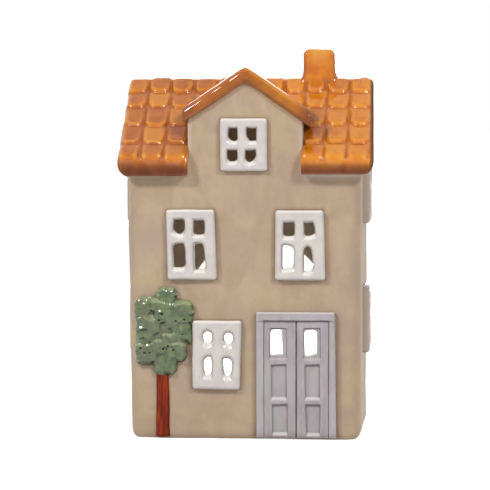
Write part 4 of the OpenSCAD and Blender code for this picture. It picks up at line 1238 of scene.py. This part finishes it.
def make_tealight():
    foot, top, r = turned_size("tealight_cup")

    def flutes(angles, radius, z):
        share = max(0.0, min(1.0, (z - foot - 1.0) / 2.0)) * max(0.0, min(1.0, (top - 2.2 - z) / 1.5))
        return 0.1 * share * np.cos(40 * angles)

    cup = [(0.0, foot + 0.5), (13.0, foot + 0.5), (13.8, foot + 0.35), (14.6, foot)]
    cup += [(r - 2.2, foot), (r - 1.1, foot + 0.25), (r - 0.62, foot + 0.9)]
    cup += curve_points((r - 0.62, foot + 0.9), (r - 0.45, top - 1.3), 10)
    cup += [(r - 0.12, top - 0.9), (r - 0.02, top - 0.5), (r - 0.12, top - 0.12), (r - 0.45, top)]
    cup += [(r - 0.75, top - 0.15), (r - 0.85, top - 0.5)]
    cup += curve_points((r - 0.85, top - 0.5), (r - 1.0, foot + 1.1), 10)
    cup += [(r - 1.5, foot + 0.62), (14.0, foot + 0.6), (13.0, foot + 0.9), (0.0, foot + 0.9)]
    verts, faces = lathe(cup, wave=flutes)
    made_piece("tealight_cup_pressed", verts, faces, CUP, "tealight", "tealight_cup")

    foot, top, r = turned_size("tealight_wax")
    r -= WAX_PLAY
    wax = [(0.0, foot + 0.5), (12.0, foot + 0.5), (r - 0.6, foot + 0.6), (r, foot + 1.4)]
    wax += curve_points((r, foot + 1.4), (r, top - 0.1), 5)
    wax += [(r - 0.3, top - 0.22), (r - 0.8, top - 0.38), (r - 1.7, top - 0.45)]
    wax += curve_points((r - 1.7, top - 0.45), (3.0, top - 0.5), 12, -0.12)
    wax += [(2.0, top - 0.42), (1.4, top - 0.25), (1.0, top - 0.05), (0.7, top - 0.05), (0.0, top - 0.05)]

    def set_wax(angles, radius, z):
        return 0.05 * np.sin(3 * angles + z) * min(1.0, radius / 6.0)

    verts, faces = lathe(wax, set_wax)
    verts[:, 2] += 0.08 * noise(verts[:, 0], verts[:, 1], verts[:, 2], 6.0) * (verts[:, 2] > top - 1.0)
    made_piece("tealight_wax_poured", verts, faces, WAX, "tealight", "tealight_wax")

    foot, top, r = turned_size("tealight_wick")
    r -= WICK_PLAY
    steps = 60
    wick = [(0.0, foot)] + [
        (r * min(1.0, 0.6 + 0.1 * i, 0.45 + 0.14 * (steps - i)), foot + (top - foot) * i / steps)
        for i in range(steps + 1)
    ] + [(0.0, top)]

    def plies(angles, radius, z):
        return 0.16 * radius * (np.abs(np.cos(1.5 * (angles - 2.2 * z))) - 1.0)

    verts, faces = lathe(wick, plies, WICK_TURNS)
    made_piece("tealight_wick_twisted", verts, faces, WICK, "tealight", "tealight_wick")


make_large_pieces()
make_windows()
make_door()
make_tree()
make_tealight()

# The CAD nodes that stay get their own materials
for node, (material, _) in (("floor_plate", BISQUE), ("tealight_wick_clip", CLIP)):
    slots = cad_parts[node].data.materials
    slots.clear()
    slots.append(material)


# Stage: a pale floor, a white room and soft lamps

def make_stage():
    n = Nodes("floor_white")
    n.colour = (0.9, 0.9, 0.9, 1.0)
    shine = n.part(n.seen(), FLOOR_SHINE)
    material, _ = n.finish(0.9, Emission_Color=ALL_WHITE, Emission_Strength=shine)
    mesh = bpy.data.meshes.new("floor")
    corners = [(x * FLOOR_HALF, y * FLOOR_HALF, 0) for x, y in ((-1, -1), (1, -1), (1, 1), (-1, 1))]
    mesh.from_pydata(corners, [], [(0, 1, 2, 3)])
    mesh.materials.append(material)
    floor = bpy.data.objects.new("floor", mesh)
    bpy.context.scene.collection.objects.link(floor)
    n = Nodes("studio", bpy.data.worlds, "Background")
    n.put(ALL_WHITE, n.shader.inputs["Color"])
    n.put(n.span(n.seen(), 0.0, 1.0, WORLD_LEVEL, 1.0), n.shader.inputs["Strength"])
    bpy.context.scene.world = n.owner


def aimed(name, data, place, target):
    """A lamp or a camera that looks at a target."""
    looker = bpy.data.objects.new(name, data)
    looker.location = place
    looker.rotation_euler = (Vector(target) - Vector(place)).to_track_quat("-Z", "Y").to_euler()
    bpy.context.scene.collection.objects.link(looker)
    return looker


def make_lamps():
    for name, (place, target, width, depth, watts) in LAMPS.items():
        data = bpy.data.lights.new(name, "AREA")
        data.shape = "RECTANGLE"
        data.size, data.size_y, data.energy = width, depth, watts
        aimed(name, data, place, target)


def make_camera():
    data = bpy.data.cameras.new("camera")
    data.sensor_width, data.lens = SENSOR, LENS
    data.clip_start, data.clip_end = CLIP_NEAR, CLIP_FAR
    bpy.context.scene.camera = aimed("camera", data, CAMERA_AT, CAMERA_AIM)


make_stage()
make_lamps()
make_camera()
bpy.context.scene.view_settings.view_transform = "Standard"
